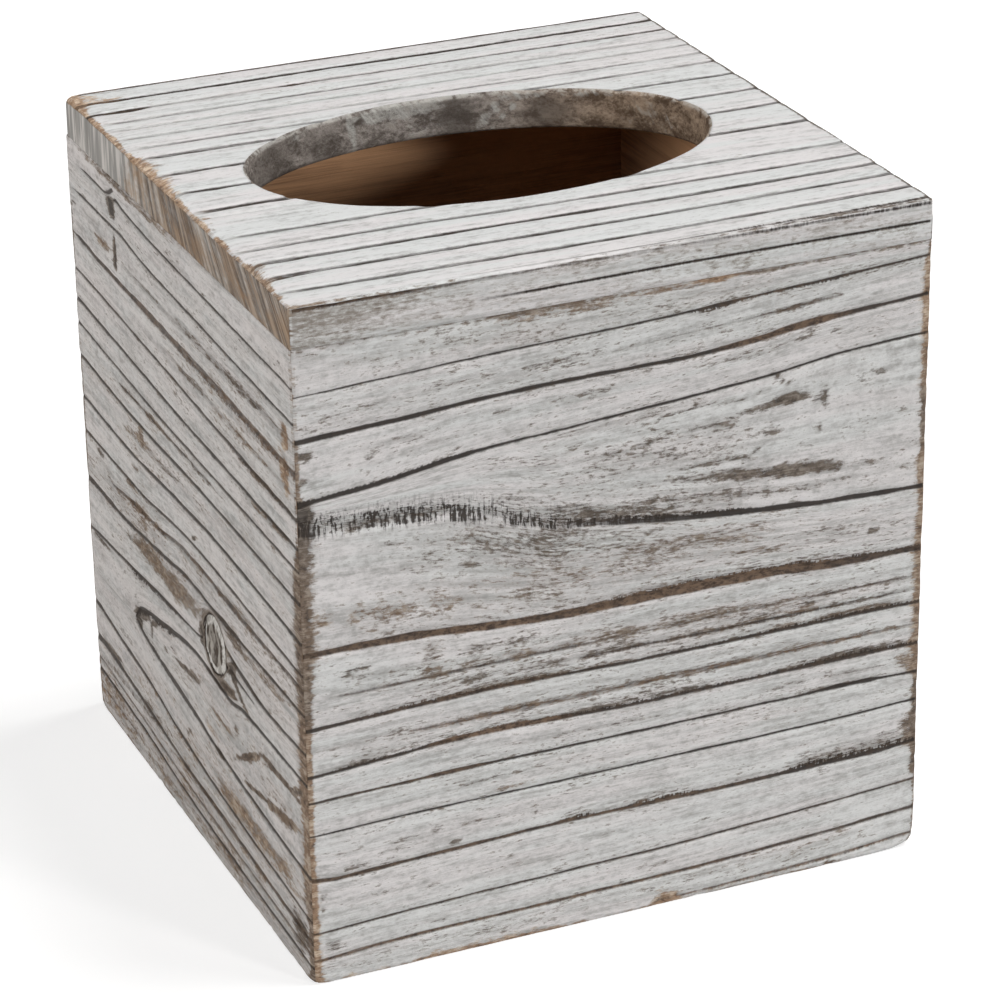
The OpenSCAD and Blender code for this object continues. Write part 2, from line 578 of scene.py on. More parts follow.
def oval_angle(spot):
    return math.atan2((spot.v - HALF_D) / (OVAL_W / 2 + OVAL_R), (spot.u - HALF_W) / (OVAL_L / 2 + OVAL_R))


def outside_oval(spot):
    """Above zero outside the oval's rounded rim, below zero inside."""
    x, y = (spot.u - HALF_W) / (OVAL_L / 2 + OVAL_R), (spot.v - HALF_D) / (OVAL_W / 2 + OVAL_R)
    return math.hypot(x, y) - oval_wobble(oval_angle(spot))


def end_lean(v, below):
    """How far back the growth rings on the board's ends lean, at a depth below the arris."""
    return 1.05 * ease(22, 105, COVER_D - v) * below * ease(0, 4, v) * ease(0, 4, COVER_D - v)


def end_look(spot, drop, side):
    """The end grain: each groove of the face runs on down it, ever fainter."""
    gap, rag, ink = spot.line
    fade = math.exp(-drop / 6)
    inset = spot.inset * (0.25 + 0.5 * fade)
    brown = clamp(spot.tint[0] + 0.35)
    tan = 0.35 + 0.4 * waver(spot.v / 5, drop / 4, 18)
    forward = ease(30, 75, COVER_D - spot.v)
    bare = 0.08 + 0.58 * ease(22, 60, COVER_D - spot.v) if side < 0 else 0.4
    ink *= (0.15 + 0.85 * forward) * (0.75 + 0.25 * fade)
    return inset, (gap, rag + 0.1, ink), (brown, bare, tan), (0.35, NO_KNOT, 0.0)


class LongEdge:
    """The front and back edges of the top board, with the grain lines along them."""

    def __init__(self, lines, thin, bare):
        self.lines, self.thin, self.bare = lines, Track(thin), Track(bare)

    def look(self, u, drop, side):
        z = COVER_H - drop
        gap, middle, half, line = NO_LINE, 0.0, 1.0, self.lines[0]
        for other in self.lines:
            height = other.path(u) + 0.06 * waver(u / 3, side, 19)
            wide = max(0.03, other.width(u) / 2 * (1 + 0.3 * waver(u / 2, side, 20)))
            if abs(z - height) - wide < gap:
                gap, middle, half, line = abs(z - height) - wide, height, wide, other
        ink = line.ink(u)
        inset = 0.2 * ink * (1 - ease(0.2, 1.8, abs(z - middle) / half)) + 0.03 * (1 + waver(u / 9, z, 21))
        rag = line.up(u) if z > middle else line.down(u)
        thin = self.thin(u) * (0.85 + 0.15 * ease(COVER_H - 6, COVER_H - 4.6, z))
        return inset, (gap, rag, ink), (line.brown(u), self.bare(u), 0.1), (thin, NO_KNOT, 0.0)


class TopBoard:
    """The top board: its face with the oval cut out, the oval's wall, its edges and its underside."""

    # Halvings that find where a mesh edge crosses the oval
    HALVINGS = 18

    def __init__(self, face, long_edge):
        self.face, self.long_edge = face, long_edge
        self.shell = Shell()
        self.spots, self.vertices, self.crossings = [], {}, {}
        self.grid = [self.spot_column(nominal) for nominal in face.columns]
        self.outside = [outside_oval(spot) for spot in self.spots]

    def spot_column(self, nominal):
        column = self.face.column(nominal)
        numbers = []
        for v in self.face.rows(nominal, column):
            r_left, r_right = top_radius(0, v), top_radius(COVER_W, v)
            u = r_left + nominal * (COVER_W - r_left - r_right) / COVER_W
            numbers.append(len(self.spots))
            self.spots.append(Spot(u, v, *self.face.look(nominal, v, column)))
        return numbers

    def vertex(self, number):
        if number not in self.vertices:
            spot = self.spots[number]
            place = (*warp(spot.u, spot.v), COVER_H - spot.inset)
            grain = (spot.u, spot.level, TOP_LAYER)
            self.vertices[number] = self.shell.add(place, grain, spot.line, spot.tint, spot.thin)
        return self.vertices[number]

    def crossing(self, a, b):
        """The spot where the mesh edge between two others crosses the oval's rim."""
        key = (min(a, b), max(a, b))
        if key not in self.crossings:
            low, high = 0.0, 1.0
            first, second = self.spots[key[0]], self.spots[key[1]]
            for _ in range(self.HALVINGS):
                middle = (low + high) / 2
                if (outside_oval(Spot(*mix(first, second, middle))) > 0) == (self.outside[key[0]] > 0):
                    low = middle
                else:
                    high = middle
            self.crossings[key] = len(self.spots)
            self.spots.append(Spot(*mix(first, second, clamp((low + high) / 2, 0.002, 0.998))))
        return self.crossings[key]

    def upper_face(self):
        """The face's cells, each cut off where it reaches into the oval."""
        for first, second in zip(self.grid, self.grid[1:]):
            for j in range(len(first) - 1):
                corners = (first[j], second[j], second[j + 1], first[j + 1])
                outline = []
                for a, b in zip(corners, corners[1:] + corners[:1]):
                    if self.outside[a] > 0:
                        outline.append(a)
                    if (self.outside[a] > 0) != (self.outside[b] > 0):
                        outline.append(self.crossing(a, b))
                if len(outline) > 2:
                    self.shell.face([self.vertex(number) for number in outline], OUTSIDE, rounded=True)

    def oval_point(self, spot, grow, drop, relief, rough):
        """A point of the oval's wall, with its saw marks, brush marks and blotches."""
        angle = oval_angle(spot)
        arc = angle * OVAL_MEAN_R
        chatter = 0.16 * waver(arc / 2.6 + drop / 7, drop / 9, 16) + 0.07 * waver(arc / 0.8, drop / 2, 17)
        reach = grow - rough * (0.18 + chatter)
        wobble = oval_wobble(angle)
        x = (OVAL_L / 2 + reach) * math.cos(angle) * wobble
        y = (OVAL_W / 2 + reach) * math.sin(angle) * wobble
        tint = (spot.tint[0], max(spot.tint[1], 0.35), 0.2)
        pale = max(mark.weight(arc, drop) * mark.thin for mark in OVAL_MARKS)
        deep = max(mark.weight(arc, drop) * mark.bare for mark in OVAL_MARKS)
        return self.shell.add((x, y, COVER_H - drop - relief * spot.inset), (arc, drop, OVAL_LAYER),
                              spot.line, tint, (pale, NO_KNOT, deep))

    def oval_wall(self):
        """Rings from the oval's rounded rim down to the underside."""
        rim = sorted(self.crossings.values(), key=lambda number: oval_angle(self.spots[number]))
        # Each ring: how far out and down it lies, its share of the face's relief, and how sawn it is
        rings = []
        for angle in map(math.radians, OVAL_ARC):
            sin, cos = math.sin(angle), math.cos(angle)
            rings.append((OVAL_R * (1 - sin), OVAL_R * (1 - cos), cos, 0.0))
        side = TOP_T - OVAL_R
        rings += [(0.0, OVAL_R + side * i / OVAL_RINGS, 0.0, 1.0) for i in range(OVAL_RINGS)]
        rings.append((SEAM, TOP_T, 0.0, 0.0))
        above = [self.vertex(number) for number in rim]
        finish = OUTSIDE
        for ring in rings:
            below = [self.oval_point(self.spots[number], *ring) for number in rim]
            self.shell.ring(above, below, [finish] * len(rim))
            above, finish = below, CUT_EDGE

    def outline(self):
        """The face's outer spots in order, each with the side of the board that it lies on in x and y."""
        first, last = self.grid[0], self.grid[-1]
        edge = [(first[0], -1, -1)] + [(column[0], 0, -1) for column in self.grid[1:-1]]
        edge += [(last[0], 1, -1)] + [(number, 1, 0) for number in last[1:-1]]
        edge += [(last[-1], 1, 1)] + [(column[-1], 0, 1) for column in self.grid[-2:0:-1]]
        edge += [(first[-1], -1, 1)] + [(number, -1, 0) for number in first[-2:0:-1]]
        return edge

    def edge_point(self, spot, side_x, side_y, degrees, depth):
        """A point of the board's outer edge, on its rounded arris or at a depth below it."""
        angle = math.radians(degrees)
        edge_u = (0, spot.u, COVER_W)[side_x + 1]
        edge_v = (0, spot.v, COVER_D)[side_y + 1]
        radius = top_radius(edge_u, edge_v)
        drop = radius * (1 - math.cos(angle)) if depth is None else max(depth, radius + 0.02 * depth)
        if degrees < TOP_ARC[-1]:
            inset, line, tint, thin = spot.inset, spot.line, spot.tint, spot.thin
        elif side_x:
            inset, line, tint, thin = end_look(spot, drop, side_x)
        else:
            inset, line, tint, thin = self.long_edge.look(spot.u, drop, side_y)
        into = radius * (1 - math.sin(angle)) + inset * math.sin(angle) + (SEAM if depth == TOP_T else 0.0)
        lean, grain = 0.0, (spot.u, spot.level + side_y * drop, TOP_LAYER)
        if side_x and not side_y:
            lean = end_lean(spot.v, max(0.0, drop - radius))
            grain = (drop, spot.level, TOP_LAYER)
        x, y = warp(edge_u - side_x * into, clamp(edge_v - side_y * into - lean, 0, COVER_D))
        z = COVER_H - drop - inset * math.cos(angle)
        return self.shell.add((x, y, max(z, WALL_TOP)), grain, line, tint, thin)

    def edges(self):
        """Rings round the outside, from the face down to the underside."""
        outline = self.outline()
        levels = [(degrees, None) for degrees in TOP_ARC] + [(TOP_ARC[-1], depth) for depth in TOP_DEPTHS]
        above = [self.vertex(number) for number, _, _ in outline]
        for k, level in enumerate(levels):
            below = [self.edge_point(self.spots[number], side_x, side_y, *level)
                     for number, side_x, side_y in outline]
            finishes = []
            for (_, side, _), (_, next_side, _) in zip(outline, outline[1:] + outline[:1]):
                sawn = side == next_side != 0 and k >= len(TOP_ARC) - 1
                finishes.append(END_GRAIN if sawn else OUTSIDE)
            self.shell.ring(above, below, finishes)
            above = below

    def build(self, finishes, stain):
        self.upper_face()
        self.oval_wall()
        self.edges()
        self.shell.piece("top_board", finishes, stain, fill=JOINT)


# Grain of the front wall, read from the photograph
FRONT_LINES = (
    Line(((0, 131.2), (25, 132.3), (40, 133), (60, 133.6), (80, 134.3), (100, 135.5), (120, 136.5),
          (140, 137.8)),
         ((0, 0.15), (10, 0.35), (60, 0.4), (86, 0.42), (91, 0.75), (97, 0.45), (140, 0.42)), up=0.15,
         down=((0, 0.2), (84, 0.25), (89, 0.8), (98, 0.45), (116, 0.6), (124, 0.35), (140, 0.4)),
         brown=((0, 0.05), (84, 0.1), (100, 0.5), (110, 0.3), (140, 0.2))),
    Line(((0, 126.6), (60, 128.5), (80, 129.6), (100, 130.7), (120, 132.3), (140, 133.5)),
         ((0, 0), (66, 0), (70, 0.25), (118, 0.3), (122, 0)), up=0.7, down=0.5,
         ink=((0, 0.25), (100, 0.3), (106, 0.5), (122, 0.4)), brown=0.5),
    Line(((0, 121.8), (20, 122.7), (40, 124), (60, 124.6), (80, 124.7), (100, 125.9), (110, 127.2),
          (120, 128), (140, 129.3)),
         ((0, 0.95), (30, 0.85), (80, 0.8), (92, 1), (100, 1.5), (116, 1.5), (124, 0.9), (140, 0.7)),
         up=0.2, down=0.3, brown=((0, 0.05), (90, 0.1), (95, 0.8), (118, 0.9), (124, 0.2), (140, 0.1))),
    Line(((0, 108.3), (10, 109.3), (20, 110.3), (30, 111.8), (40, 113.1), (60, 114.4), (80, 115.8),
          (100, 117.2), (120, 119.6), (140, 120.8)),
         ((0, 1.2), (5, 0.9), (36, 0.9), (42, 0.55), (140, 0.5)),
         up=((0, 0.6), (36, 0.6), (40, 0.15), (140, 0.15)), down=0.2, brown=0.05),
    Line(((0, 103.2), (10, 102.8), (20, 102.1), (30, 100.9), (36, 99.9), (42, 98), (50, 95.2), (55, 93.5),
          (65, 92.1), (80, 89.9), (90, 88.9), (100, 88), (120, 86.7), (140, 86.1)),
         ((0, 2.4), (8, 2.6), (36, 2.7), (44, 2.1), (52, 1.4), (60, 1.05), (80, 1.05), (100, 1.1),
          (140, 0.95)),
         up=((0, 0.9), (36, 1.1), (44, 1.3), (52, 1.4), (80, 1.1), (96, 0.7), (104, 0.4), (140, 0.3)),
         down=((0, 0.6), (36, 0.6), (52, 0.35), (60, 0.2), (140, 0.2)), brown=0.05,
         comb=((0, 1), (42, 1), (54, 0.8), (64, 0.45), (72, 0.15), (90, 0))),
    Line(((0, 75.6), (20, 75.4), (40, 74.1), (50, 73.5), (60, 73.2), (80, 73.4), (100, 73.2), (110, 72.8),
          (120, 72), (140, 71.8)),
         ((0, 1.2), (12, 1.4), (40, 1.8), (50, 1.6), (60, 1.7), (75, 2), (115, 1.8), (125, 1.4),
          (140, 1.2)), up=((0, 0.3), (55, 0.4), (70, 0.7), (120, 0.9), (140, 0.6)), down=0.3,
         brown=((0, 0.45), (10, 0.7), (36, 0.9), (48, 1), (54, 0.6), (62, 0.9), (100, 0.95), (116, 0.75),
                (126, 0.4), (140, 0.35))),
    Line(((0, 65.2), (10, 65.3), (60, 65.6), (110, 65.5), (140, 65.4)),
         ((0, 0), (6, 0.15), (14, 0.35), (60, 0.3), (64, 0.15), (110, 0.2), (116, 0.35), (135, 0.3),
          (140, 0.1)), up=0.5, down=0.4,
         ink=((0, 0.6), (60, 0.7), (66, 0.35), (112, 0.4), (118, 0.7), (140, 0.5)), brown=0.4),
    Line(((0, 62.4), (60, 62.6), (100, 62.4), (140, 62.2)),
         ((0, 0), (58, 0), (64, 0.35), (108, 0.35), (114, 0.2), (137, 0.1)), up=0.5, down=0.5, ink=0.7,
         brown=0.3),
    Line(((0, 58.8), (20, 59.4), (45, 59.8), (80, 59.2), (140, 59.2)),
         ((0, 0.75), (22, 0.65), (30, 0.7), (48, 0.65), (56, 0.55), (140, 0.6)),
         up=((0, 0.3), (25, 0.8), (50, 0.8), (60, 0.4), (100, 0.6), (115, 1), (140, 0.6)), down=0.25,
         brown=((0, 0.1), (25, 0.55), (48, 0.55), (58, 0.2), (140, 0.2))),
    Line(((0, 54.2), (23, 54), (79, 53.9), (140, 54)),
         ((0, 0), (20, 0), (27, 0.6), (60, 0.9), (78.6, 0.9), (79.4, 0.1), (80.2, 0.1), (81, 0.9),
          (125, 0.7), (139, 0.2)), up=0.5, down=0.45, ink=0.5, brown=0.95),
    Line(((0, 48.3), (20, 49.3), (28, 50), (45, 50.3), (52, 49.9), (75, 49.3), (140, 49.4)),
         ((0, 0.55), (24, 0.5), (30, 1.1), (52, 1.1), (57, 0.5), (110, 0.5), (115, 0.8), (127, 0.8),
          (132, 0.5), (140, 0.5)),
         up=((0, 0.3), (12, 0.8), (28, 0.5), (52, 0.6), (60, 0.8), (90, 0.7), (110, 0.6), (118, 1.1),
             (140, 0.8)), down=0.3, brown=((0, 0.1), (25, 0.2), (29, 1), (54, 1), (60, 0.2), (140, 0.25))),
    Line(((0, 42.3), (20, 42.7), (45, 42.9), (75, 42.8), (110, 42.8), (120, 43), (140, 42.6)),
         ((0, 0.5), (25, 0.5), (28, 0.9), (36, 0.8), (40, 0.5), (116, 0.5), (120, 0.95), (128, 0.9),
          (132, 0.5), (140, 0.5)), up=0.35, down=0.2,
         brown=((0, 0.1), (26, 0.7), (38, 0.6), (42, 0.1), (140, 0.05))),
    Line(((0, 34.8), (30, 35.2), (90, 35.2), (120, 35.4), (140, 36)), ((0, 0.4), (60, 0.45), (140, 0.5)),
         up=0.1, down=0.1, brown=0.02),
    Line(((0, 24.6), (5, 24), (15, 24.3), (30, 24.7), (60, 25.3), (90, 25), (130, 25.2), (140, 26)),
         ((0, 0.8), (30, 0.75), (56, 0.6), (90, 0.8), (140, 0.7)),
         up=((0, 0.3), (54, 0.4), (60, 1.1), (66, 0.5), (76, 1), (84, 1.2), (88, 0.5), (108, 0.6),
             (114, 1.8), (136, 1.7), (140, 0.6)), down=0.25,
         brown=((0, 0.6), (90, 0.6), (112, 0.15), (140, 0.2))),
    Line(((0, 12), (25, 12.9), (60, 13.5), (80, 13.8), (100, 14.6), (120, 15.5), (140, 16.6)),
         ((0, 0.2), (4, 0.45), (60, 0.45), (140, 0.5)), up=0.3, down=0.2, ink=0.95, brown=0.3),
    Line(((0, 5.6), (20, 6.6), (60, 6.9), (80, 7.1), (100, 7.6), (120, 8.5), (140, 9.8)),
         ((0, 0.65), (40, 0.6), (100, 0.65), (140, 0.7)), up=0.35, down=0.35, ink=0.8,
         brown=((0, 0.9), (80, 0.8), (100, 0.4), (140, 0.3))),
    Line(((0, 2), (70, 1.3), (85, 1.2), (100, 1.4), (120, 2), (140, 3.5)),
         ((0, 0), (80, 0), (86, 0.25), (110, 0.5), (140, 0.45)), up=0.4, down=0.5, ink=0.7, brown=1),
)
FRONT_PATCHES = patches(
    (72, 104, 36, 13, 0, 0.18, 0.3), (45, 93, 26, 8, 0, 0.25, 0.42), (60, 82, 58, 6, 0, 0.24, 0.5, 0.2),
    (62, 90, 34, 9, -4, 0.25, 0.45), (70, 78, 60, 5, 0, 0.2, 0.4), (70, 65, 78, 5, 0, 0.1, 0.35, 0.1),
    (60, 54, 80, 5, 0, 0.1, 0.3), (70, 137, 78, 4, 0, 0.14, 0.42), (60, 127, 90, 6, 0, 0.1, 0.27),
    (60, 40, 90, 8, 0, 0.08, 0.24), (70, 65, 78, 8, 0, 0.2, 0.12), (60, 127, 82, 6, 0, 0.14),
    (60, 119, 60, 5, 0, 0.15), (60, 50, 85, 9, 0, 0.15), (60, 22, 95, 20, 0, 0.1),
    (110, 85, 40, 30, 0, 0.12), (60, 4, 75, 2.4, 0, 0.16, 0.3), (15, 127.3, 6, 0.6, 4, 0.42),
    (33, 128.3, 9, 0.7, 3, 0.42), (56, 129, 13, 0.8, 2, 0.42), (8, 137, 26, 4, 0, 0.1, 0.3),
    (22, 118.4, 6, 0.5, 3, 0.5), (15, 116.2, 1.6, 0.5, 10, 0.5), (43.4, 120.6, 2, 0.35, 0, 0.62),
    (60, 121, 13, 0.8, 3, 0.36), (97, 122.6, 9, 0.9, 4, 0.36), (109, 124.2, 5, 0.6, 5, 0.5),
    (119, 124.9, 2, 0.4, 3, 0.5), (110, 131.8, 8, 0.5, 5, 0.5), (56, 139.4, 15, 1, 0, 0.46, 0, 0.35),
    (82, 140.2, 14, 0.7, 0, 0.5, 0, 0.5), (91, 140.4, 3.5, 0.5, 0, 0.9, 0, 0.9),
    (1.5, 118.5, 1.6, 1.2, 0, 0.6), (1.2, 113.5, 1.8, 1, 0, 0.6), (0.8, 105.5, 1.8, 3.2, 0, 1.1),
    (84, 113.4, 15, 0.5, 0, 0.44), (95, 113.6, 3.2, 0.45, 0, 0.75), (100.6, 114.1, 1.5, 0.5, 20, 0.6),
    (106, 116.4, 3, 0.6, -35, 0.65), (108, 111.6, 4.6, 1.3, 0, 0.95, 0, 0.05),
    (103.5, 111.2, 3, 0.9, 15, 0.6), (114.6, 110.8, 0.7, 2.4, 0, 0.7), (116.6, 110.5, 0.6, 2.4, 0, 0.7),
    (78, 108, 8, 0.6, 10, 0.46), (90, 109.3, 7, 0.7, 3, 0.55), (98, 110.5, 6, 0.7, 8, 0.5),
    (93, 108, 4, 0.8, 0, 0.6), (129.5, 113.8, 2.2, 0.6, 0, 0.6), (125, 113.4, 4, 0.4, 0, 0.42),
    (104, 105, 3, 1.2, 0, 0.5), (75, 105.5, 8, 0.7, -5, 0.42), (78, 103.6, 10, 0.7, 0, 0.42),
    (97, 100.3, 7, 0.6, -12, 0.6), (88, 100.8, 8, 0.5, 0, 0.5), (101, 102, 2, 0.8, 30, 0.5),
    (86, 98, 8, 0.6, -8, 0.52), (98, 96.8, 10, 1.3, -6, 0.75, 0, 0.05),
    (110, 95.6, 10, 1.5, -4, 0.88, 0, 0.05), (118, 94.6, 3.5, 1.3, 0, 0.72), (126, 93.8, 6, 0.5, -2, 0.5),
    (115.5, 103, 0.5, 2.4, 15, 0.5), (75, 95, 6, 0.5, 0, 0.5), (88, 94, 12, 0.6, -2, 0.52),
    (92, 92.6, 22, 1, -3, 0.46), (112, 91.4, 14, 1, -2, 0.42), (57, 97, 7, 0.8, -5, 0.52),
    (62, 95, 9, 0.8, -5, 0.5), (50, 100, 9, 1.2, -12, 0.36), (68, 102.5, 6, 0.6, 0, 0.4),
    (52, 107.6, 2, 0.5, 0, 0.4), (68, 107, 3, 0.5, 0, 0.45), (60, 113, 12, 0.7, 3, 0.34),
    (18, 102.4, 20, 1.5, -3, 0.34), (57, 96, 14, 2.4, -16, 0.36), (38, 94.5, 7, 2.4, 0, 0.42, 0, 0.1),
    (36, 88.6, 5, 0.5, 0, 0.6), (22, 96.5, 8, 1.2, 0, 0.34), (23, 90, 5, 0.7, 0, 0.32),
    (50, 91, 18, 3, 0, 0.4), (60, 87, 20, 3, 0, 0.36), (4, 82.8, 2.8, 1.9, 0, 0.44, 0.5, 0.35),
    (11.5, 82.2, 2.6, 1.5, 0, 0.42, 0.5, 0.35), (19, 81.6, 5.5, 2, 0, 0.45, 0.6, 0.35),
    (30.5, 81.2, 3.8, 2.2, 0, 0.45, 0.6, 0.4), (45, 84, 10, 1.2, 0, 0.36, 0.3, 0.3),
    (61, 81, 5, 2.2, 0, 0.4, 0.5, 0.3), (72, 80.8, 12, 1.2, 0, 0.38, 0.4, 0.2),
    (62.5, 78, 1.5, 0.6, 0, 0.5), (85, 84, 20, 2.6, -2, 0.36, 0.35, 0.2),
    (96, 82.4, 8, 1.2, -5, 0.46, 0.4, 0.25), (100, 79, 8, 0.8, -4, 0.42, 0.3, 0.2),
    (117, 80.4, 9, 1.2, -3, 0.34, 0.3), (120, 78.6, 9, 0.5, 0, 0.4), (128, 78, 1.6, 0.7, 0, 0.65),
    (27.5, 70.5, 2.6, 2.2, 0, 0.42, 0.5, 0.15), (28, 66.5, 3.6, 1.6, 0, 0.5, 0.6, 0.4),
    (11, 70.5, 5, 0.7, 8, 0.42), (18, 68, 12, 2, 0, 0.28), (37, 69.5, 4, 1.6, 0, 0.42),
    (46, 69.5, 4, 1.2, 0, 0.38), (36, 66.5, 2.6, 1, 0, 0.42, 0.4, 0.3),
    (47, 66.5, 4, 1.2, 0, 0.5, 0.4, 0.35), (58, 66, 6, 1.1, 0, 0.42, 0.4, 0.2),
    (84, 66.4, 26, 1.5, 0, 0.42, 0.7, 0.25), (105, 66, 8, 0.9, 0, 0.42, 0.4, 0.2),
    (36, 63.2, 10, 0.7, 0, 0.46), (52, 63, 14, 0.8, -1, 0.44), (70, 63.2, 10, 0.7, 0, 0.5),
    (92, 62.6, 14, 0.7, 0, 0.46, 0.3, 0.3), (112, 62.9, 5, 0.7, 0, 0.6, 0.2, 0.4),
    (106, 63.8, 10, 0.4, 3, 0.5), (126, 62.5, 12, 0.5, 0, 0.46), (44, 60.2, 14, 0.6, 0, 0.5, 0, 0.3),
    (66, 59.8, 6, 0.5, 0, 0.45, 0, 0.3), (108, 60, 6, 0.6, 0, 0.5, 0, 0.3),
    (124, 60, 12, 0.8, 0, 0.5, 0.1, 0.2), (10, 54.2, 8, 0.5, 0, 0.36), (21, 54.6, 7, 0.6, 0, 0.38),
    (44, 54.3, 14, 0.9, 0, 0.42, 0.5, 0.35), (85, 54.2, 60, 0.9, 0, 0.34, 0.5, 0.15),
    (12, 49.3, 6, 0.5, 4, 0.5), (62, 50.2, 9, 0.6, 0, 0.52), (85, 50.1, 9, 0.6, 0, 0.5),
    (108, 50, 3, 0.5, 0, 0.5), (124, 50.2, 12, 0.7, 0, 0.56), (38, 45.4, 8, 0.5, 0, 0.36),
    (48, 46, 4, 0.3, 0, 0.42), (66, 45.5, 14, 0.5, 0, 0.44), (107, 46, 8, 0.8, 0, 0.36),
    (124, 46, 8, 0.8, 0, 0.4), (122, 43.4, 10, 0.5, 0, 0.5), (42, 39.4, 9, 0.4, 0, 0.5),
    (45, 36.5, 5, 0.4, 0, 0.42, 0, 0.6), (8, 29.8, 5, 0.4, 0, 0.42), (20, 30.1, 5, 0.45, 0, 0.5),
    (27.5, 30.5, 2.4, 0.7, 0, 0.62), (36, 30.3, 7, 0.4, 0, 0.5), (17, 27.9, 3, 0.35, 0, 0.42),
    (9, 26, 4, 0.8, 0, 0.5), (31.5, 26.1, 1.6, 0.55, 0, 0.9), (66, 20.4, 3, 0.35, 0, 0.5),
    (44, 20, 1, 0.4, 0, 0.5), (45, 18.4, 2, 0.4, 0, 0.42), (26, 18, 2, 0.4, 0, 0.42),
    (8, 17.6, 4, 0.35, 0, 0.36), (30, 18.2, 40, 0.4, 0, 0.22), (2, 20.5, 0.6, 1, 0, 0.6),
    (2, 17.5, 0.6, 0.8, 0, 0.6), (4, 8.6, 2, 1.4, 0, 0.46), (17, 8.9, 2, 0.4, 0, 0.42),
    (27, 8.8, 2, 0.4, 0, 0.42), (77, 10, 6, 0.4, 0, 0.36), (112, 6, 20, 1.6, 1, 0.2, 0.4, 0.2),
    (81.2, 1.4, 2.2, 1.7, 0, 1.1, 0, 0.85), (78.4, 1.2, 0.5, 0.9, 0, 1.1),
    (120.5, 0.6, 1, 0.6, 0, 0.9, 0, 0.3), (137, 46, 2.2, 1.8, 0, 0.6, 0, 0.3),
    (138, 30, 1.4, 2.6, 0, 0.6, 0, 0.15),
)
FRONT_BANDS = (
    Band("left",
         ((0, 0.9), (22, 0.9), (25, 0.7), (58, 0.7), (61, 1.2), (70, 1.4), (76, 2.2), (82, 2.4), (90, 1.8),
          (97, 2.5), (108, 2.4), (109.5, 0.5), (118, 0.5), (122.5, 0.25), (141, 0.25)),
         ((0, 0.75), (24, 0.7), (57, 0.5), (62, 0.15), (74, 0.25), (90, 0.2), (101, 0.05), (108, 0),
          (110, 0.3), (141, 0.3))),
    Band("right",
         ((0, 0.3), (18, 0.4), (20, 1.5), (23, 0.6), (26, 2.2), (32, 2), (34, 0.6), (36, 1.2), (42, 0.7),
          (43, 2), (48, 1.7), (60, 1.5), (75, 1.4), (93, 1.3), (97, 0.8), (106, 0.8), (110, 1.4),
          (134, 1.3), (137.5, 0.6), (141, 0.4)),
         ((0, 0.2), (40, 0.2), (44, 0.45), (93, 0.45), (98, 0.15), (107, 0.2), (110, 0.45), (125, 0.7),
          (136, 0.6), (141, 0.3))),
    Band("foot",
         ((0, 0.6), (21, 0.6), (24, 1.2), (50, 1.1), (58, 0.6), (77, 0.5), (78.5, 2.2), (83, 2), (85, 0.5),
          (119, 0.5), (120.5, 1.2), (122, 0.5), (140, 0.4)),
         ((0, 0.6), (22, 0.75), (44, 0.8), (60, 0.5), (77, 0.5), (79, 0.85), (84, 0.8), (90, 0.4),
          (140, 0.3))),
    Band(WALL_TOP, ((0, 0.5), (36, 0.5), (46, 0.7), (76, 0.7), (100, 0.65), (140, 0.55)),
         ((0, 0.1), (40, 0.1), (84, 0.3), (89, 0.9), (94, 0.7), (98, 0.1), (140, 0.1))),
)

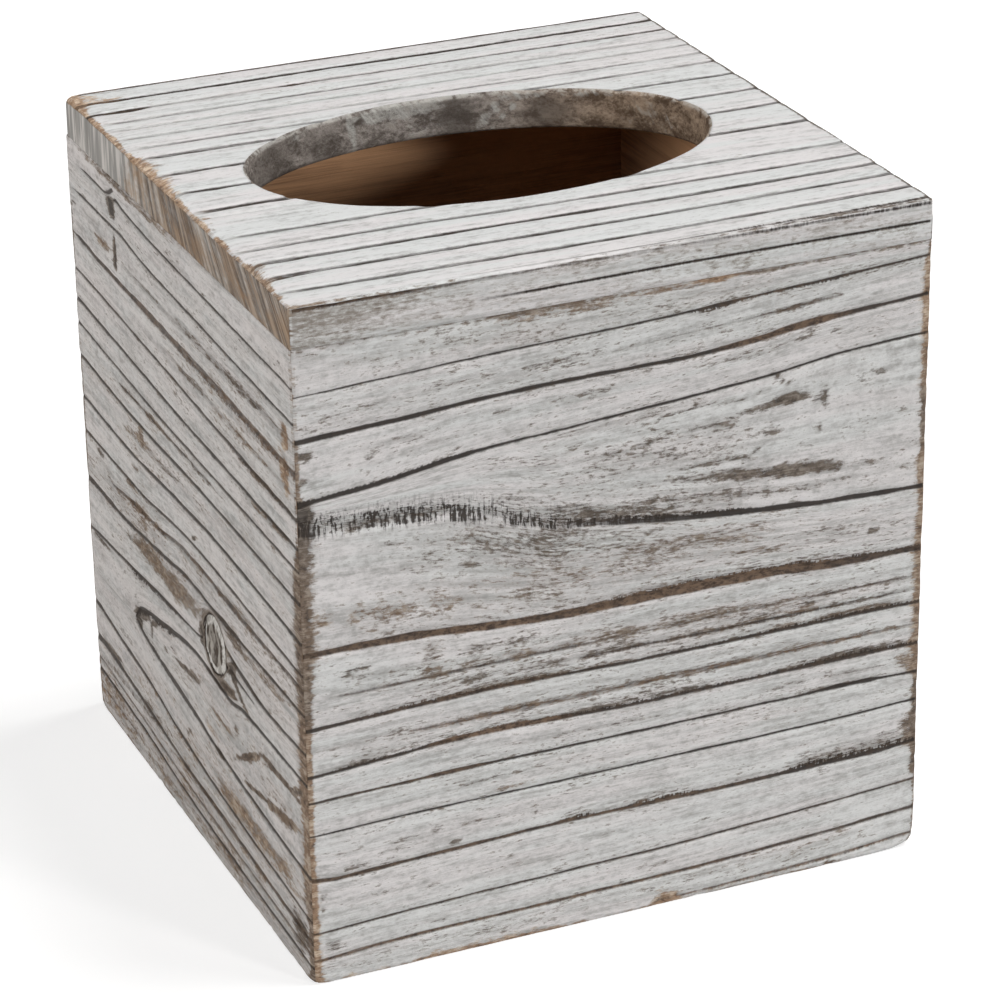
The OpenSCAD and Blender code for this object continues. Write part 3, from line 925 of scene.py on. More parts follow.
# Grain of the left wall, from the back arris to the front one, with its knot and pointed loop
LEFT_LINES = (
    Line(((0, 135.9), (10, 136), (25, 135.9), (29, 137), (31.5, 138.1), (140, 138.4)),
         ((0, 0), (9, 0.1), (13, 0.45), (26, 0.5), (29, 0.9), (31, 0.7), (32.5, 0)), up=0.2, down=0.2,
         brown=0.1),
    Line(((0, 134.9), (28, 135), (31, 135.8), (33.5, 136.4), (37, 135.9), (50, 135), (70, 134.3),
          (110, 133.6), (140, 133)), ((0, 0), (31.5, 0), (33, 0.9), (38, 0.5), (135, 0.45), (140, 0.3)),
         up=0.15, down=0.2, brown=0.1),
    Line(((0, 129.3), (35, 129.2), (42, 128.6), (50, 127.8), (90, 126.7), (140, 125.5)),
         ((0, 0.05), (4, 0.15), (8, 0.5), (140, 0.5)), up=0.1, down=0.15, brown=0.1),
    Line(((0, 122.8), (35, 122.5), (60, 121.8), (140, 121.5)),
         ((0, 0), (34, 0), (38, 0.5), (90, 0.8), (137, 0.8), (140, 0.3)), up=0.5, down=0.5, ink=0.35,
         brown=0.3),
    Line(((0, 118.7), (20, 117.5), (60, 116.8), (100, 116.3), (140, 115.2)),
         ((0, 0), (2, 0.3), (5, 0.8), (40, 0.95), (50, 1.4), (100, 1.3), (110, 0.9), (140, 0.8)),
         up=((0, 0.2), (100, 0.3), (110, 0.5), (140, 0.5)),
         down=((0, 0.2), (60, 0.4), (105, 0.9), (140, 0.9)),
         ink=((0, 1), (44, 0.95), (60, 0.74), (140, 0.7)),
         brown=((0, 0.15), (50, 0.6), (110, 0.7), (140, 0.7))),
    Line(((0, 113.6), (60, 112.5), (95, 111.5), (140, 110.4)),
         ((0, 0), (56, 0), (62, 0.5), (95, 0.6), (138, 0.5)), up=0.4, down=0.3, ink=0.35, brown=0.7),
    Line(((0, 110), (20, 109.4), (60, 108), (100, 106.5), (140, 105.3)),
         ((0, 0.5), (60, 0.5), (105, 0.7), (140, 0.8)), up=0.2,
         down=((0, 0.3), (100, 0.3), (110, 0.5), (140, 0.5)),
         ink=((0, 0.8), (60, 1), (100, 0.8), (140, 0.8)), brown=0.2),
    Line(((0, 102.6), (40, 101.2), (70, 100.1), (140, 99)), 0.68, up=0.1, down=0.15, brown=0.1),
    Line(((0, 96.8), (30, 95.5), (60, 94.7), (140, 94)), 0.6, up=0.1, down=0.15, ink=0.9, brown=0.15),
    Line(((0, 92.6), (28, 92.4), (90, 92.2), (140, 91.6)),
         ((0, 0), (27, 0), (33, 0.3), (85, 0.3), (92, 0)), up=0.6, down=0.5, ink=0.55, brown=0.4),
    Line(((0, 88.7), (45, 87.3), (80, 87.8), (140, 87)), ((0, 0.7), (60, 0.7), (140, 0.65)), up=0.2,
         down=0.2, brown=0.08),
    Line(((0, 78.8), (35, 77.9), (65, 79.2), (90, 79.7), (140, 78.2)), 0.72, up=0.2, down=0.2, brown=0.08),
    Line(((0, 70.4), (40, 70.4), (60, 72), (75, 72.7), (140, 71.1)), 0.55, up=0.2, down=0.4, brown=0.2),
    Line(((0, 64.3), (20, 64.5), (35, 65.8), (50, 66.6), (70, 68.8), (85, 68.8), (92, 68.2), (140, 68)),
         ((0, 0), (18, 0.1), (30, 0.7), (60, 0.6), (88, 0.7), (96, 1.1), (112, 0.8), (140, 0.5)), up=0.3,
         down=0.5, ink=0.75, brown=0.5),
    Line(((0, 58.6), (20, 58.6), (45, 60.3), (60, 61.7), (70, 62.7), (90, 62.2), (140, 62.3)),
         ((0, 1), (20, 0.9), (40, 0.65), (56, 0.8), (86, 0.6), (92, 1.1), (100, 0.9), (106, 0.6),
          (140, 0.6)), up=0.2, down=0.4, brown=0.15),
    Line(((0, 46), (20, 47.5), (35, 48.7), (50, 50), (70, 51.2), (77.5, 51.9), (79.2, 54.4), (81, 57.6),
          (83.5, 59.8), (86.2, 60.5), (89, 59.8), (91.5, 58), (93.5, 56.4), (97, 55.3), (105, 54),
          (120, 52.8), (140, 53.5)),
         ((0, 1), (20, 1), (32, 0.7), (60, 0.7), (78, 0.5), (80, 0.4), (90, 0.4), (94, 1), (104, 1.1),
          (112, 0.8), (140, 0.6)), up=0.25,
         down=((0, 0.3), (26, 0.4), (34, 0.9), (60, 0.8), (70, 0.3), (140, 0.3)), brown=0.15),
    Line(((0, 44.6), (20, 46.2), (50, 48.7), (77.5, 50.6), (79.6, 50.2), (81.6, 48.6), (84, 47.5),
          (86.6, 47.3), (89.4, 48.2), (91.8, 50.3), (94, 52), (100, 51.8), (120, 50.8), (140, 51.2)),
         ((0, 0), (77.3, 0), (78.5, 0.3), (90, 0.4), (92.5, 0.9), (97, 0.8), (108, 0.3), (112, 0)), up=0.3,
         down=0.3, brown=0.1),
    Line(((0, 36.4), (29.5, 36.6), (31, 37.3), (32.5, 38.5), (35, 39.9), (39, 41.2), (44, 42.2), (50, 43),
          (60, 44.7), (75, 46.2), (85, 45.4), (95, 44.6), (103, 46), (140, 46.5)),
         ((0, 0), (30.3, 0), (31, 0.8), (34, 1.3), (40, 0.8), (50, 0.9), (60, 0.9), (80, 0.8), (103, 0.7),
          (140, 0.6)), up=0.2, down=((0, 0.1), (34, 1.3), (42, 0.7), (55, 0.9), (62, 0.4), (140, 0.3)),
         brown=0.05),
    Line(((0, 35), (29.5, 35.9), (31, 35.8), (33, 35.1), (36, 34.2), (45, 32.7), (60, 31.1), (72, 29.8),
          (80, 28.6), (100, 27), (125, 25.6), (140, 25.1)),
         ((0, 0), (30.3, 0), (31, 0.8), (34, 1.1), (44, 1), (50, 1.3), (66, 1.4), (76, 1.1), (85, 0.8),
          (140, 0.7)), up=((0, 0.1), (34, 1.2), (46, 1), (56, 0.5), (80, 0.4), (140, 0.4)), down=0.25,
         brown=0.1),
    Line(((0, 27.3), (20, 25), (40, 23.2), (60, 20), (80, 18), (100, 16.7), (140, 14.9)),
         ((0, 0.9), (60, 0.8), (100, 0.6), (140, 0.45)), up=0.3, down=0.35, brown=0.2),
    Line(((0, 18.3), (20, 17), (40, 15.3), (60, 13.5), (80, 12.5), (100, 11.5), (140, 9.9)),
         ((0, 1.2), (14, 1.2), (20, 0.9), (60, 0.8), (80, 1), (140, 0.8)), up=0.6, down=0.4, ink=0.9,
         brown=((0, 0.2), (60, 0.3), (80, 0.6), (140, 0.5))),
    Line(((0, 12.9), (30, 11.2), (50, 9.8), (70, 8.8), (120, 7.2), (140, 6.8)), ((0, 0.5), (140, 0.5)),
         up=0.3, down=0.3, ink=0.7, brown=0.6),
    Line(((0, 9.9), (35, 8.3), (60, 6.2), (80, 5.2), (140, 3.8)), ((0, 0.7), (60, 0.7), (140, 0.6)),
         up=0.15, down=0.2, brown=0.1),
    Line(((0, 5.6), (30, 4.8), (80, 2.9), (140, 2.2)), ((0, 0.3), (30, 0.3), (38, 0)), up=0.2, down=0.2,
         ink=0.5),
)
LEFT_PATCHES = patches(
    (70, 62, 85, 9, 0, 0.24, 0.25, 0.2), (85, 20, 75, 7, 0, 0.24, 0.35, 0.4),
    (60, 5, 95, 8, 0, 0.26, 0.35, 0.35), (70, 86, 95, 10, 0, 0.18, 0.1, 0.2),
    (110, 115, 50, 12, 0, 0.2, 0.15, 0.25), (100, 38, 44, 9, 0, 0.24, 0.15, 0.25),
    (70, 130, 90, 9, 0, 0.13), (60, 104, 90, 8, 0, 0.13), (20, 40, 26, 10, 0, 0.12),
    (30, 134.1, 2.6, 2.2, 0, 1.3), (31.2, 124, 1.1, 3.6, 0, 1.2, 0, 0.1), (31.2, 121.2, 1.2, 1.2, 0, 1.3),
    (22, 123.3, 6.4, 1.3, 0, 0.5, 0.7, 0.35), (2, 125.8, 2.4, 0.5, 8, 0.8), (0.5, 123, 1.2, 0.8, 0, 0.7),
    (53, 122.3, 10, 0.5, 0, 0.5), (78, 122.4, 10, 1.2, 0, 0.42, 0.3), (108, 122, 26, 1.4, 0, 0.44, 0.35),
    (118, 121.6, 3, 1, 0, 0.6), (80, 112, 12, 0.8, 0, 0.5, 0.2), (112, 110.7, 16, 0.8, 0, 0.44, 0.3, 0.3),
    (135.6, 121.3, 2.2, 3, 0, 0.8, 0.3, 0.75), (135, 113.3, 2.6, 4.4, 0, 0.8, 0.4, 0.75),
    (122, 105.5, 16, 1, 0, 0.5, 0.4, 0.2), (124, 98.6, 14, 0.8, 0, 0.44, 0.3, 0.2),
    (52, 92.6, 6, 0.9, 0, 0.6, 0.1, 0.15), (36, 92.5, 8, 0.5, 0, 0.5), (68, 92.3, 10, 0.5, 0, 0.46),
    (88, 92, 14, 0.5, 0, 0.42), (42, 83.8, 12, 1.4, 2, 0.46, 0.5, 0.35),
    (42.5, 84.4, 2.2, 2.8, 0, 0.75, 0.3, 0.2), (62, 84, 14, 0.7, 2, 0.46, 0.2),
    (76, 84.5, 16, 0.5, 0, 0.42), (34, 83, 7, 0.5, 0, 0.5), (76, 74.6, 1.4, 0.6, 25, 0.95),
    (37, 75.3, 2.4, 0.7, 0, 0.6, 0.3, 0.3), (12, 69, 3, 0.8, 0, 0.6), (34, 69.4, 5, 0.9, 0, 0.55, 0.3, 0.2),
    (38, 66, 8, 1.3, 4, 0.5, 0.6, 0.35), (41, 63.6, 3, 1.4, 0, 0.5, 0.3, 0.3),
    (53, 66.8, 6, 0.8, 0, 0.5, 0.3, 0.3), (17, 64.8, 3, 0.5, 0, 0.5),
    (104, 69.3, 12, 1.1, 0, 0.46, 0.7, 0.2), (44, 57.4, 13, 2.3, 5, 0.55, 1.3, 0.35),
    (62, 57, 18, 2.9, 2, 0.48, 1.2, 0.3), (42, 72, 5, 16, 0, 0.1, 0.4, 0.2), (34, 55.8, 7, 0.6, 0, 0.55),
    (76, 58.6, 5, 1.6, 10, 0.5, 0.6, 0.2), (99, 60.6, 7, 1.2, -3, 0.6, 0.4),
    (116, 60.2, 20, 1, 0, 0.5, 0.5, 0.25), (78.3, 53.6, 1.8, 2.8, 0, 1.15, 0.5),
    (80, 58.8, 2.4, 1.4, 45, 0.62, 0.6), (96, 52.8, 3.4, 1.5, 20, 1.15, 0.5),
    (93, 47, 6, 1.4, 4, 1.12, 0.7, 0.1), (88, 45.4, 6, 0.7, 0, 1.12), (108, 54, 6, 0.9, -12, 0.5),
    (9, 45.4, 7, 0.7, 3, 0.62), (33.4, 37.2, 2.6, 2, 0, 1.05), (38, 39.5, 4, 1.2, 20, 0.5),
    (42.6, 38.4, 0.9, 2.2, 0, 0.75), (44.5, 40.6, 2.8, 0.7, 20, 0.7), (52, 37.6, 1.6, 0.8, 0, 0.5),
    (58, 40.2, 3, 0.5, 0, 0.42), (66, 38.9, 8, 0.7, 4, 0.85), (72, 39.9, 3.2, 0.7, 0, 1),
    (90, 36.9, 9, 0.6, -3, 0.6, 0.2, 0.35), (98, 39.4, 1.6, 1.4, 0, 0.7, 0, 0.1),
    (105, 36.2, 9, 0.9, 27, 1.12, 0.3, 0.1), (101, 49.3, 6, 0.8, -28, 1.12, 0.3),
    (110, 38.4, 5, 0.6, 24, 0.6, 0, 0.6), (114, 35, 3, 2, 0, 0.4), (123, 41, 12, 0.8, 0, 1.12, 0, 0.1),
    (135, 42.6, 4, 0.9, 20, 1.1, 0, 0.1), (110, 30.2, 8, 0.6, 8, 1.05, 0.3, 0.1),
    (126, 32.4, 12, 1.2, 8, 0.9, 0.5, 0.25), (82, 31.6, 6, 1.2, 0, 0.4, 0.4, 0.7),
    (66, 23.8, 2.5, 0.6, 30, 0.6), (86, 28.2, 3, 1, 0, 0.7), (24, 28, 8, 0.8, 0, 0.34, 0.2),
    (106, 20, 26, 2.6, 0, 0.5, 1.1, 0.6), (108, 18.6, 5, 1.6, 30, 0.5, 0.5, 0.7),
    (126, 17.6, 9, 0.9, 0, 0.46, 0.4, 0.5), (12, 19.3, 8, 0.9, 0, 0.55), (40, 17, 20, 0.7, 0, 0.4),
    (60, 12.4, 30, 0.8, 0, 0.44, 0.3, 0.3), (10, 8, 12, 3, 0, 0.42, 0.6, 0.3),
    (8, 4.6, 9, 1.2, 0, 0.4, 0.5, 0.7), (60, 3.4, 60, 1.8, 0, 0.4, 0.4, 0.3),
    (25, 14.4, 25, 1, 0, 0.4, 0.2), (56, 3, 3, 0.9, 0, 0.5, 0, 0.3), (134, 9, 5, 5, 0, 0.6, 0.2),
    (45, 139.9, 30, 0.6, 0, 0.6, 0, 0.2),
)
LEFT_KNOTS = (Oval(86.3, 54, 6.3, 6.1, 12),)
LEFT_BANDS = (
    Band("right",
         ((0, 1.2), (13, 1.4), (18, 3.2), (50, 3.4), (60, 3.2), (66, 2.8), (78, 3.2), (90, 2.8), (97, 1.4),
          (99, 0.3), (141, 0.25)),
         ((0, 0.2), (16, 0.25), (26, 0.45), (58, 0.4), (66, 0.2), (96, 0.25), (141, 0.3))),
    Band("left",
         ((0, 1.2), (12, 1), (14, 0.5), (60, 0.6), (62, 1), (86, 1), (90, 0.5), (110, 0.5), (112, 0.9),
          (123, 0.8), (125, 0.3), (141, 0.3)), ((0, 0.4), (14, 0.2), (141, 0.1))),
    Band("foot", ((0, 0.9), (20, 0.6), (140, 0.6)), ((0, 0.3), (140, 0.3))),
    Band(WALL_TOP, ((0, 0.4), (16, 0.5), (20, 0.6), (60, 0.6), (80, 0.4), (140, 0.3)),
         ((0, 0.1), (50, 0.1), (64, 0.3), (140, 0.1))),
)
# Finer rows, and finer columns where its lines split and where they bend round the knot
LEFT_FILL_STEP = 0.75
LEFT_FINE_STRETCHES = ((28, 37, 0.45), (76.5, 96, 0.4))


def board_line(curl, path, width, ink, brown=0.04):
    """A line of the top board, which curls forward and turns brown at its left end."""
    start = path[0][1]
    path = ((0, start - curl), (1.2, start - 0.45 * curl), (3.4, start)) + path[1:]
    return Line(path, width, up=0.2, down=0.2, ink=((0, 0.25 * ink), (4.5, 0.64 * ink)),
                brown=((0, 1), (5, brown)))


# Grain of the top board, from its front edge back
TOP_LINES = (
    Line(((0, 1.3), (50, 1.3), (100, 1.35), (140, 1.6)), ((0, 0), (40, 0.1), (60, 0.25), (140, 0.4)),
         up=((0, 0.1), (86, 0.2), (96, 0.4), (140, 0.4)),
         down=((0, 0.2), (80, 0.3), (92, 0.6), (140, 0.7)),
         ink=((0, 0.4), (60, 0.5), (90, 0.8), (140, 0.9)), brown=0.15,
         comb=((0, 0), (88, 0.1), (100, 0.4), (140, 0.3))),
    board_line(0.4, ((0, 8.1), (20, 8), (80, 7.6), (110, 8.2), (140, 8.7)),
               ((0, 0.6), (3, 1), (140, 0.95)), 0.95),
    board_line(2.4, ((0, 16.3), (9, 16.7), (50, 16.4), (80, 16.2), (140, 17.1)),
               ((0, 1.2), (6, 1.7), (11, 1), (140, 0.9)), 0.95),
    board_line(3, ((0, 24.6), (60, 24.3), (90, 23.8), (140, 24)), 1, 1),
    board_line(0.7, ((0, 32.2), (35, 32.4), (60, 31.4), (140, 30.7)), 0.9, 0.85),
    board_line(1.6, ((0, 40.6), (45, 40.3), (93, 39.5), (140, 38.6)), 0.9, 0.82),
    board_line(0, ((0, 53), (25, 53), (140, 50.5)), ((0, 0.5), (18, 0.4), (26, 0)), 0.3, 0.3),
    board_line(0.9, ((0, 57.1), (20, 57.6), (115, 54.8), (140, 54.5)), 1.05, 1),
    board_line(2.2, ((0, 69.2), (19, 69.2), (121, 67.2), (140, 67.5)), 1, 0.95),
    board_line(1.2, ((0, 81.1), (22, 81.3), (120, 78.4), (140, 78)), 0.95, 0.98),
    board_line(2.2, ((0, 92.8), (34, 92.5), (112, 90.3), (140, 89.6)),
               ((0, 1.1), (27, 1), (30, 0.7), (140, 0.9)), 0.98),
    board_line(0.8, ((0, 99.3), (50, 99.2), (140, 99.2)), 0.85, 0.74),
    board_line(1, ((0, 105.9), (60, 106.1), (140, 105.8)), 0.8, 0.66),
    board_line(0.6, ((0, 112), (70, 112.6), (140, 112.3)), 0.75, 0.6),
    board_line(0.6, ((0, 116.8), (50, 117.8), (90, 118.2), (140, 117.8)), 0.85, 0.72),
    Line(((0, 123.6), (3, 124), (12, 124.2), (60, 124.9), (140, 124.8)),
         ((0, 1), (4, 1.3), (10, 1.3), (14, 0.7), (44, 0.6), (47, 1.1), (50, 0.8), (54, 0.6), (140, 0.7)),
         ink=((0, 0.7), (3, 1), (11, 1), (15, 0.5), (44, 0.5), (47, 1), (51, 0.8), (56, 0.6), (140, 0.75)),
         brown=0.2),
    Line(((0, 131), (4, 131.9), (9, 131.6), (60, 132.2), (140, 132.4)),
         ((0, 1.2), (8, 1.2), (12, 0.95), (140, 0.9)), ink=0.85,
         brown=((0, 0.9), (8, 0.5), (12, 0.05), (140, 0.05))),
    Line(((0, 138), (8, 138.7), (140, 138.8)), ((0, 0), (4, 0.5), (140, 0.8)), up=0.5, down=0.15, ink=0.75,
         brown=0.1),
)
TOP_PATCHES = patches(
    (3, 134.5, 4, 2.6, 0, 0.6, 0, 0.9), (8, 132.8, 5, 0.8, 0, 0.55, 0, 0.7), (2.5, 127, 4, 2, 0, 0.3, 0, 1),
    (3.5, 87.2, 1.6, 0.8, 0, 0.7, 0, 0.2), (4, 77.8, 1.2, 0.7, 0, 0.6, 0, 0.2),
    (2.4, 79.5, 2, 1.2, 0, 0.6, 0, 0.8), (1.5, 53, 1.6, 0.7, 0, 0.7, 0, 0.6),
    (1.6, 49.4, 1.2, 0.5, 0, 0.7, 0, 0.3), (1, 46.4, 0.9, 0.7, 0, 0.7, 0, 0.2),
    (2, 23, 2.6, 1.4, 35, 0.7, 0, 0.6), (4, 16, 5, 0.8, 6, 0.6, 0, 0.35), (1.2, 69.4, 2, 2, 0, 0.5, 0, 0.9),
    (120, 0.9, 26, 0.8, 0, 0.6), (60, 128, 130, 34, 0, 0, 0.2), (100, 84, 22, 10, -30, 0.1, 0.1, 0.6),
)
TOP_BANDS = (
    Band("left",
         ((0, 0.3), (5, 0.35), (7, 0.9), (9, 0.3), (13, 1), (15.5, 1.4), (18, 1.3), (20, 1.8), (24.5, 2.4),
          (26, 0.4), (30, 0.6), (32.5, 0.25), (36, 0.6), (38, 0.9), (41, 0.6), (43, 0.3), (46, 0.5),
          (49, 0.7), (53, 0.8), (56, 0.35), (62, 0.5), (66, 0.9), (72, 1.5), (78, 2.6), (81, 1.8),
          (86, 2.8), (92, 2.2), (94.5, 0.6), (100, 0.4), (107, 1), (111, 0.6), (118, 0.6), (126, 0.9),
          (129, 1.6), (132, 3), (136, 3), (140, 2.4)),
         ((0, 0.9), (5, 0.7), (18, 0.6), (24, 0.7), (30, 0.6), (40, 0.9), (60, 0.85), (75, 0.95), (92, 0.9),
          (105, 0.95), (130, 0.9), (140, 1))),
    Band("right", ((0, 0.7), (40, 0.5), (54, 0.8), (140, 0.6)), ((0, 0), (140, 0))),
    Band("foot", ((0, 0.8), (40, 0.5), (60, 0.4), (90, 0.6), (140, 0.6)), ((0, 0.3), (40, 0.1), (140, 0))),
    # Along the back edge: wear and painted shade, a grey line on the back arris as if it turned away from
    # the light
    Band(COVER_D, ((0, 1.8), (12, 1.5), (140, 1.5)), ((0, 0.8), (14, 0.1), (140, 0))),
)
LONG_EDGE_LINES = (
    Line(((0, 144.6), (50, 144.9), (85, 145.2), (140, 145.1)),
         ((0, 0), (38, 0), (40, 0.25), (48, 0.4), (140, 0.4)), up=0.12, down=0.12,
         ink=((0, 0), (38, 0), (40, 0.35), (46, 0.5), (50, 1), (140, 1)), brown=0.05),
    Line(((0, 149.2), (140, 149)), ((0, 0.7), (28, 0.5), (50, 0.25), (140, 0.22)),
         up=((0, 0.2), (90, 0.3), (140, 0.4)), down=((0, 0.2), (90, 0.2), (140, 0.25)),
         ink=((0, 0.85), (30, 0.7), (50, 0.45), (80, 0.4), (100, 0.65), (140, 0.8)),
         brown=((0, 0.4), (36, 0.3), (50, 0.1), (140, 0))),
)
LONG_EDGE = LongEdge(
    LONG_EDGE_LINES,
    ((0, 0.9), (8, 0.8), (20, 0.66), (40, 0.55), (140, 0.5)),
    ((0, 0.2), (10, 0.14), (45, 0.06), (140, 0.04)))

# Pale brush marks and dark blotches on the oval's wall: place round it, and depth
OVAL_MARKS = (
    Patch(80.5, 4.5, 0.9, 6.5, 8, thin=0.95),
    Patch(71, 1.6, 8, 2.4, thin=0.95),
    Patch(66, 5, 4, 3, thin=0.45),
    Patch(53.5, 5.2, 1.3, 5, -38, thin=0.8),
    Patch(50.5, 5.4, 0.8, 5, -38, thin=0.7),
    Patch(47, 1.2, 5, 1.2, thin=0.7),
    Patch(33, 1, 6, 1, thin=0.6),
    Patch(20, 5, 9, 6, thin=0.35),
    Patch(104, 5, 9, 6, bare=0.75),
    Patch(60, 5, 3.6, 5, bare=0.8),
    Patch(42, 5.5, 5, 4, bare=0.7),
    Patch(88, 6, 5, 4, bare=0.5),
    Patch(95, 1.5, 4, 1.6, thin=0.4),
)


def grown_lines(seed, run, foot, bend):
    """Grain lines for a wall that the photograph doesn't show, in the manner of the ones it does."""
    pick = random.Random(seed)
    stations = [run * i / 7 for i in range(8)]
    low, high = foot + 1.2, WALL_TOP - 1.2
    lines = []
    v = foot + pick.uniform(2.5, 5)
    while v < WALL_TOP - 2.5:
        path = []
        for u in stations:
            bent = v + bend * waver(u / 70, v / 38, seed) + 0.35 * waver(u / 22, v / 6, seed + 1)
            path.append((u, clamp(bent, low, high)))
        width = 0.4 + 0.9 * pick.random() ** 3
        widths = tuple((u, width * pick.uniform(0.6, 1.4)) for u in stations)
        rag = pick.choice((0.15, 0.15, 0.3, 0.6, 1.1))
        brown = pick.choice((0.05, 0.05, 0.1, 0.3, 0.6))
        ink = pick.choice((1, 1, 1, 0.85, 0.6))
        lines.append(Line(tuple(path), widths, up=rag, down=rag * 0.4, ink=ink, brown=brown))
        v += pick.uniform(4.6, 10.5) + (5 if pick.random() < 0.12 else 0)
    return lines


def grown_patches(seed, run, foot):
    """Worn streaks and thin places for a wall that the photograph doesn't show."""
    pick = random.Random(seed)
    made = []
    for _ in range(26):
        long, high = pick.uniform(5, 28), pick.uniform(0.5, 2.2)
        u, v, tilt = pick.uniform(0, run), pick.uniform(foot, WALL_TOP), pick.uniform(-3, 3)
        bare, thin, tan = pick.uniform(0.36, 0.56), pick.choice((0, 0.3, 0.6, 0.9)), pick.uniform(0, 0.3)
        made.append(Patch(u, v, long, high, tilt, bare, thin, tan))
    return made


def grown_bands(seed):
    """Worn arrises for a wall that the photograph doesn't show."""
    pick = random.Random(seed)
    stations = [12.0 * i for i in range(13)]
    bands = []
    for edge in ("left", "right", "foot"):
        width = tuple((z, pick.choice((0.3, 0.5, 0.8, 1.2, 1.9))) for z in stations)
        tan = tuple((z, pick.choice((0.1, 0.2, 0.5, 0.75))) for z in stations)
        bands.append(Band(edge, width, tan))
    return bands + [Band(WALL_TOP, 0.35, 0.3)]


def grown_grain(seeds, run, foot, bend):
    """All the grain of a wall that the photograph doesn't show."""
    return grown_lines(seeds[0], run, foot, bend), grown_patches(seeds[1], run, foot), grown_bands(seeds[2])


class Value:
    """A number in a node tree. Sums, differences and products of values make math nodes."""

    def __init__(self, tree, socket):
        self.tree, self.socket = tree, socket

    def __add__(self, other):
        return self.tree.math("ADD", self, other)

    # Wear along one edge of a face, and on the top board's back edge painted shade as well: how far in it
    # reaches and its tone, along the edge.
    def __radd__(self, other):
        return self.tree.math("ADD", other, self)

    def __sub__(self, other):
        return self.tree.math("SUBTRACT", self, other)

    def __rsub__(self, other):
        return self.tree.math("SUBTRACT", other, self)

    def __mul__(self, other):
        return self.tree.math("MULTIPLY", self, other)

    def __rmul__(self, other):
        return self.tree.math("MULTIPLY", other, self)


def sway(value, share):
    """A noise swung about zero."""
    return share * (value - 0.5)


class Tree:
    """The node tree of a material or of the world, built with plain calls."""

    def __init__(self, owner, output):
        owner.use_nodes = True
        self.nodes, self.links = owner.node_tree.nodes, owner.node_tree.links
        self.nodes.clear()
        self.output = self.nodes.new(output)

    def feed(self, socket, value):
        """Links a value to a socket, or sets the socket to a number or a colour."""
        if isinstance(value, Value):
            self.links.new(value.socket, socket)
        elif isinstance(value, tuple):
            socket.default_value = (*value, 1.0)
        else:
            socket.default_value = value

    def node(self, kind, **inputs):
        """A node with values for the inputs named, each name with underscores for its spaces."""
        made = self.nodes.new(kind)
        for name, value in inputs.items():
            self.feed(made.inputs[name.replace("_", " ")], value)
        return made

    def value(self, node, output=0):
        return Value(self, node.outputs[output])

    def math(self, operation, first, second):
        node = self.node("ShaderNodeMath")
        node.operation = operation
        self.feed(node.inputs[0], first)
        self.feed(node.inputs[1], second)
        return self.value(node)

    def larger(self, first, second):
        return self.math("MAXIMUM", first, second)

    def step(self, value, low, high):
        """Eases from 0 to 1 as value goes from low to high."""
        node = self.node("ShaderNodeMapRange", Value=value, From_Min=low, From_Max=high)
        node.interpolation_type = "SMOOTHSTEP"
        return self.value(node, "Result")

    def seen(self):
        """1 where the camera looks, straight or by way of a mirror or glass, and 0 for other light."""
        path = self.node("ShaderNodeLightPath")
        camera, glossy, through = (self.value(path, "Is " + kind + " Ray")
                                   for kind in ("Camera", "Glossy", "Transmission"))
        return self.larger(camera, self.larger(glossy, through))

    def shader(self, kind, **inputs):
        return self.value(self.node(kind, **inputs))

    def choose(self, share, first, second):
        """Ends the tree with a mix of two shaders."""
        node = self.node("ShaderNodeMixShader")
        for socket, value in zip(node.inputs, (share, first, second)):
            self.feed(socket, value)
        self.feed(self.output.inputs["Surface"], self.value(node))


class Finish(Tree):
    """A procedural material."""

    # Where Blender's noise is cut off at each end, to spread it over 0 to 1
    NOISE_LOW, NOISE_HIGH = 0.28, 0.72

    def __init__(self, name):
        self.material = bpy.data.materials.new(name)
        super().__init__(self.material, "ShaderNodeOutputMaterial")

    def mix(self, share, first, second):
        node = self.node("ShaderNodeMix")
        node.data_type = "RGBA"
        self.feed(node.inputs["Factor"], share)
        sockets = [socket for socket in node.inputs if socket.type == "RGBA"]
        for socket, colour in zip(sockets, (first, second)):
            self.feed(socket, colour)
        return Value(self, [socket for socket in node.outputs if socket.type == "RGBA"][0])

    def attribute(self, name, output="Vector"):
        node = self.node("ShaderNodeAttribute")
        node.attribute_name = name
        return self.value(node, output)

    def split(self, vector):
        node = self.node("ShaderNodeSeparateXYZ", Vector=vector)
        return [self.value(node, i) for i in range(3)]

    def told(self, layer):
        """The three values that a board's vertices tell in one layer."""
        return self.split(self.attribute(layer))

    def stretch(self, vector, lengths):
        """Coordinates in which one unit is the given length along each axis."""
        node = self.node("ShaderNodeVectorMath")
        node.operation = "DIVIDE"
        self.feed(node.inputs[0], vector)
        node.inputs[1].default_value = lengths
        return self.value(node)

    def place(self):
        """Where a point of the object is, in millimetres."""
        texture = self.node("ShaderNodeTexCoord")
        return self.stretch(self.value(texture, "Object"), (MM, MM, MM))

    def noise(self, vector, lengths, detail, rough, shift, swirl=0.0):
        """Cloudy noise with features of the given lengths, spread over 0 to 1.

        Rough is how strong its fine features are, and shift sets one noise apart from another.
        """
        node = self.node("ShaderNodeTexNoise")
        node.noise_dimensions = "4D"
        inputs = {"Vector": self.stretch(vector, lengths), "W": shift, "Scale": 1.0, "Detail": detail,
                  "Roughness": rough, "Distortion": swirl}
        for name, value in inputs.items():
            self.feed(node.inputs[name], value)
        spread = self.node("ShaderNodeMapRange", Value=self.value(node, "Fac"), From_Min=self.NOISE_LOW,
                           From_Max=self.NOISE_HIGH)
        return self.value(spread, "Result")

    def finish(self, colour, height, relief, roughness=0.8, metallic=0.0, specular=0.08):
        """Ends the tree. Relief is how deep the bumps of height are, in millimetres."""
        bump = self.node("ShaderNodeBump", Strength=1.0, Distance=relief * MM, Height=height)
        shader = self.node("ShaderNodeBsdfPrincipled", Base_Color=colour, Roughness=roughness,
                           Metallic=metallic, Specular_IOR_Level=specular, Normal=self.value(bump))
        self.feed(self.output.inputs["Surface"], self.value(shader))
        return self.material


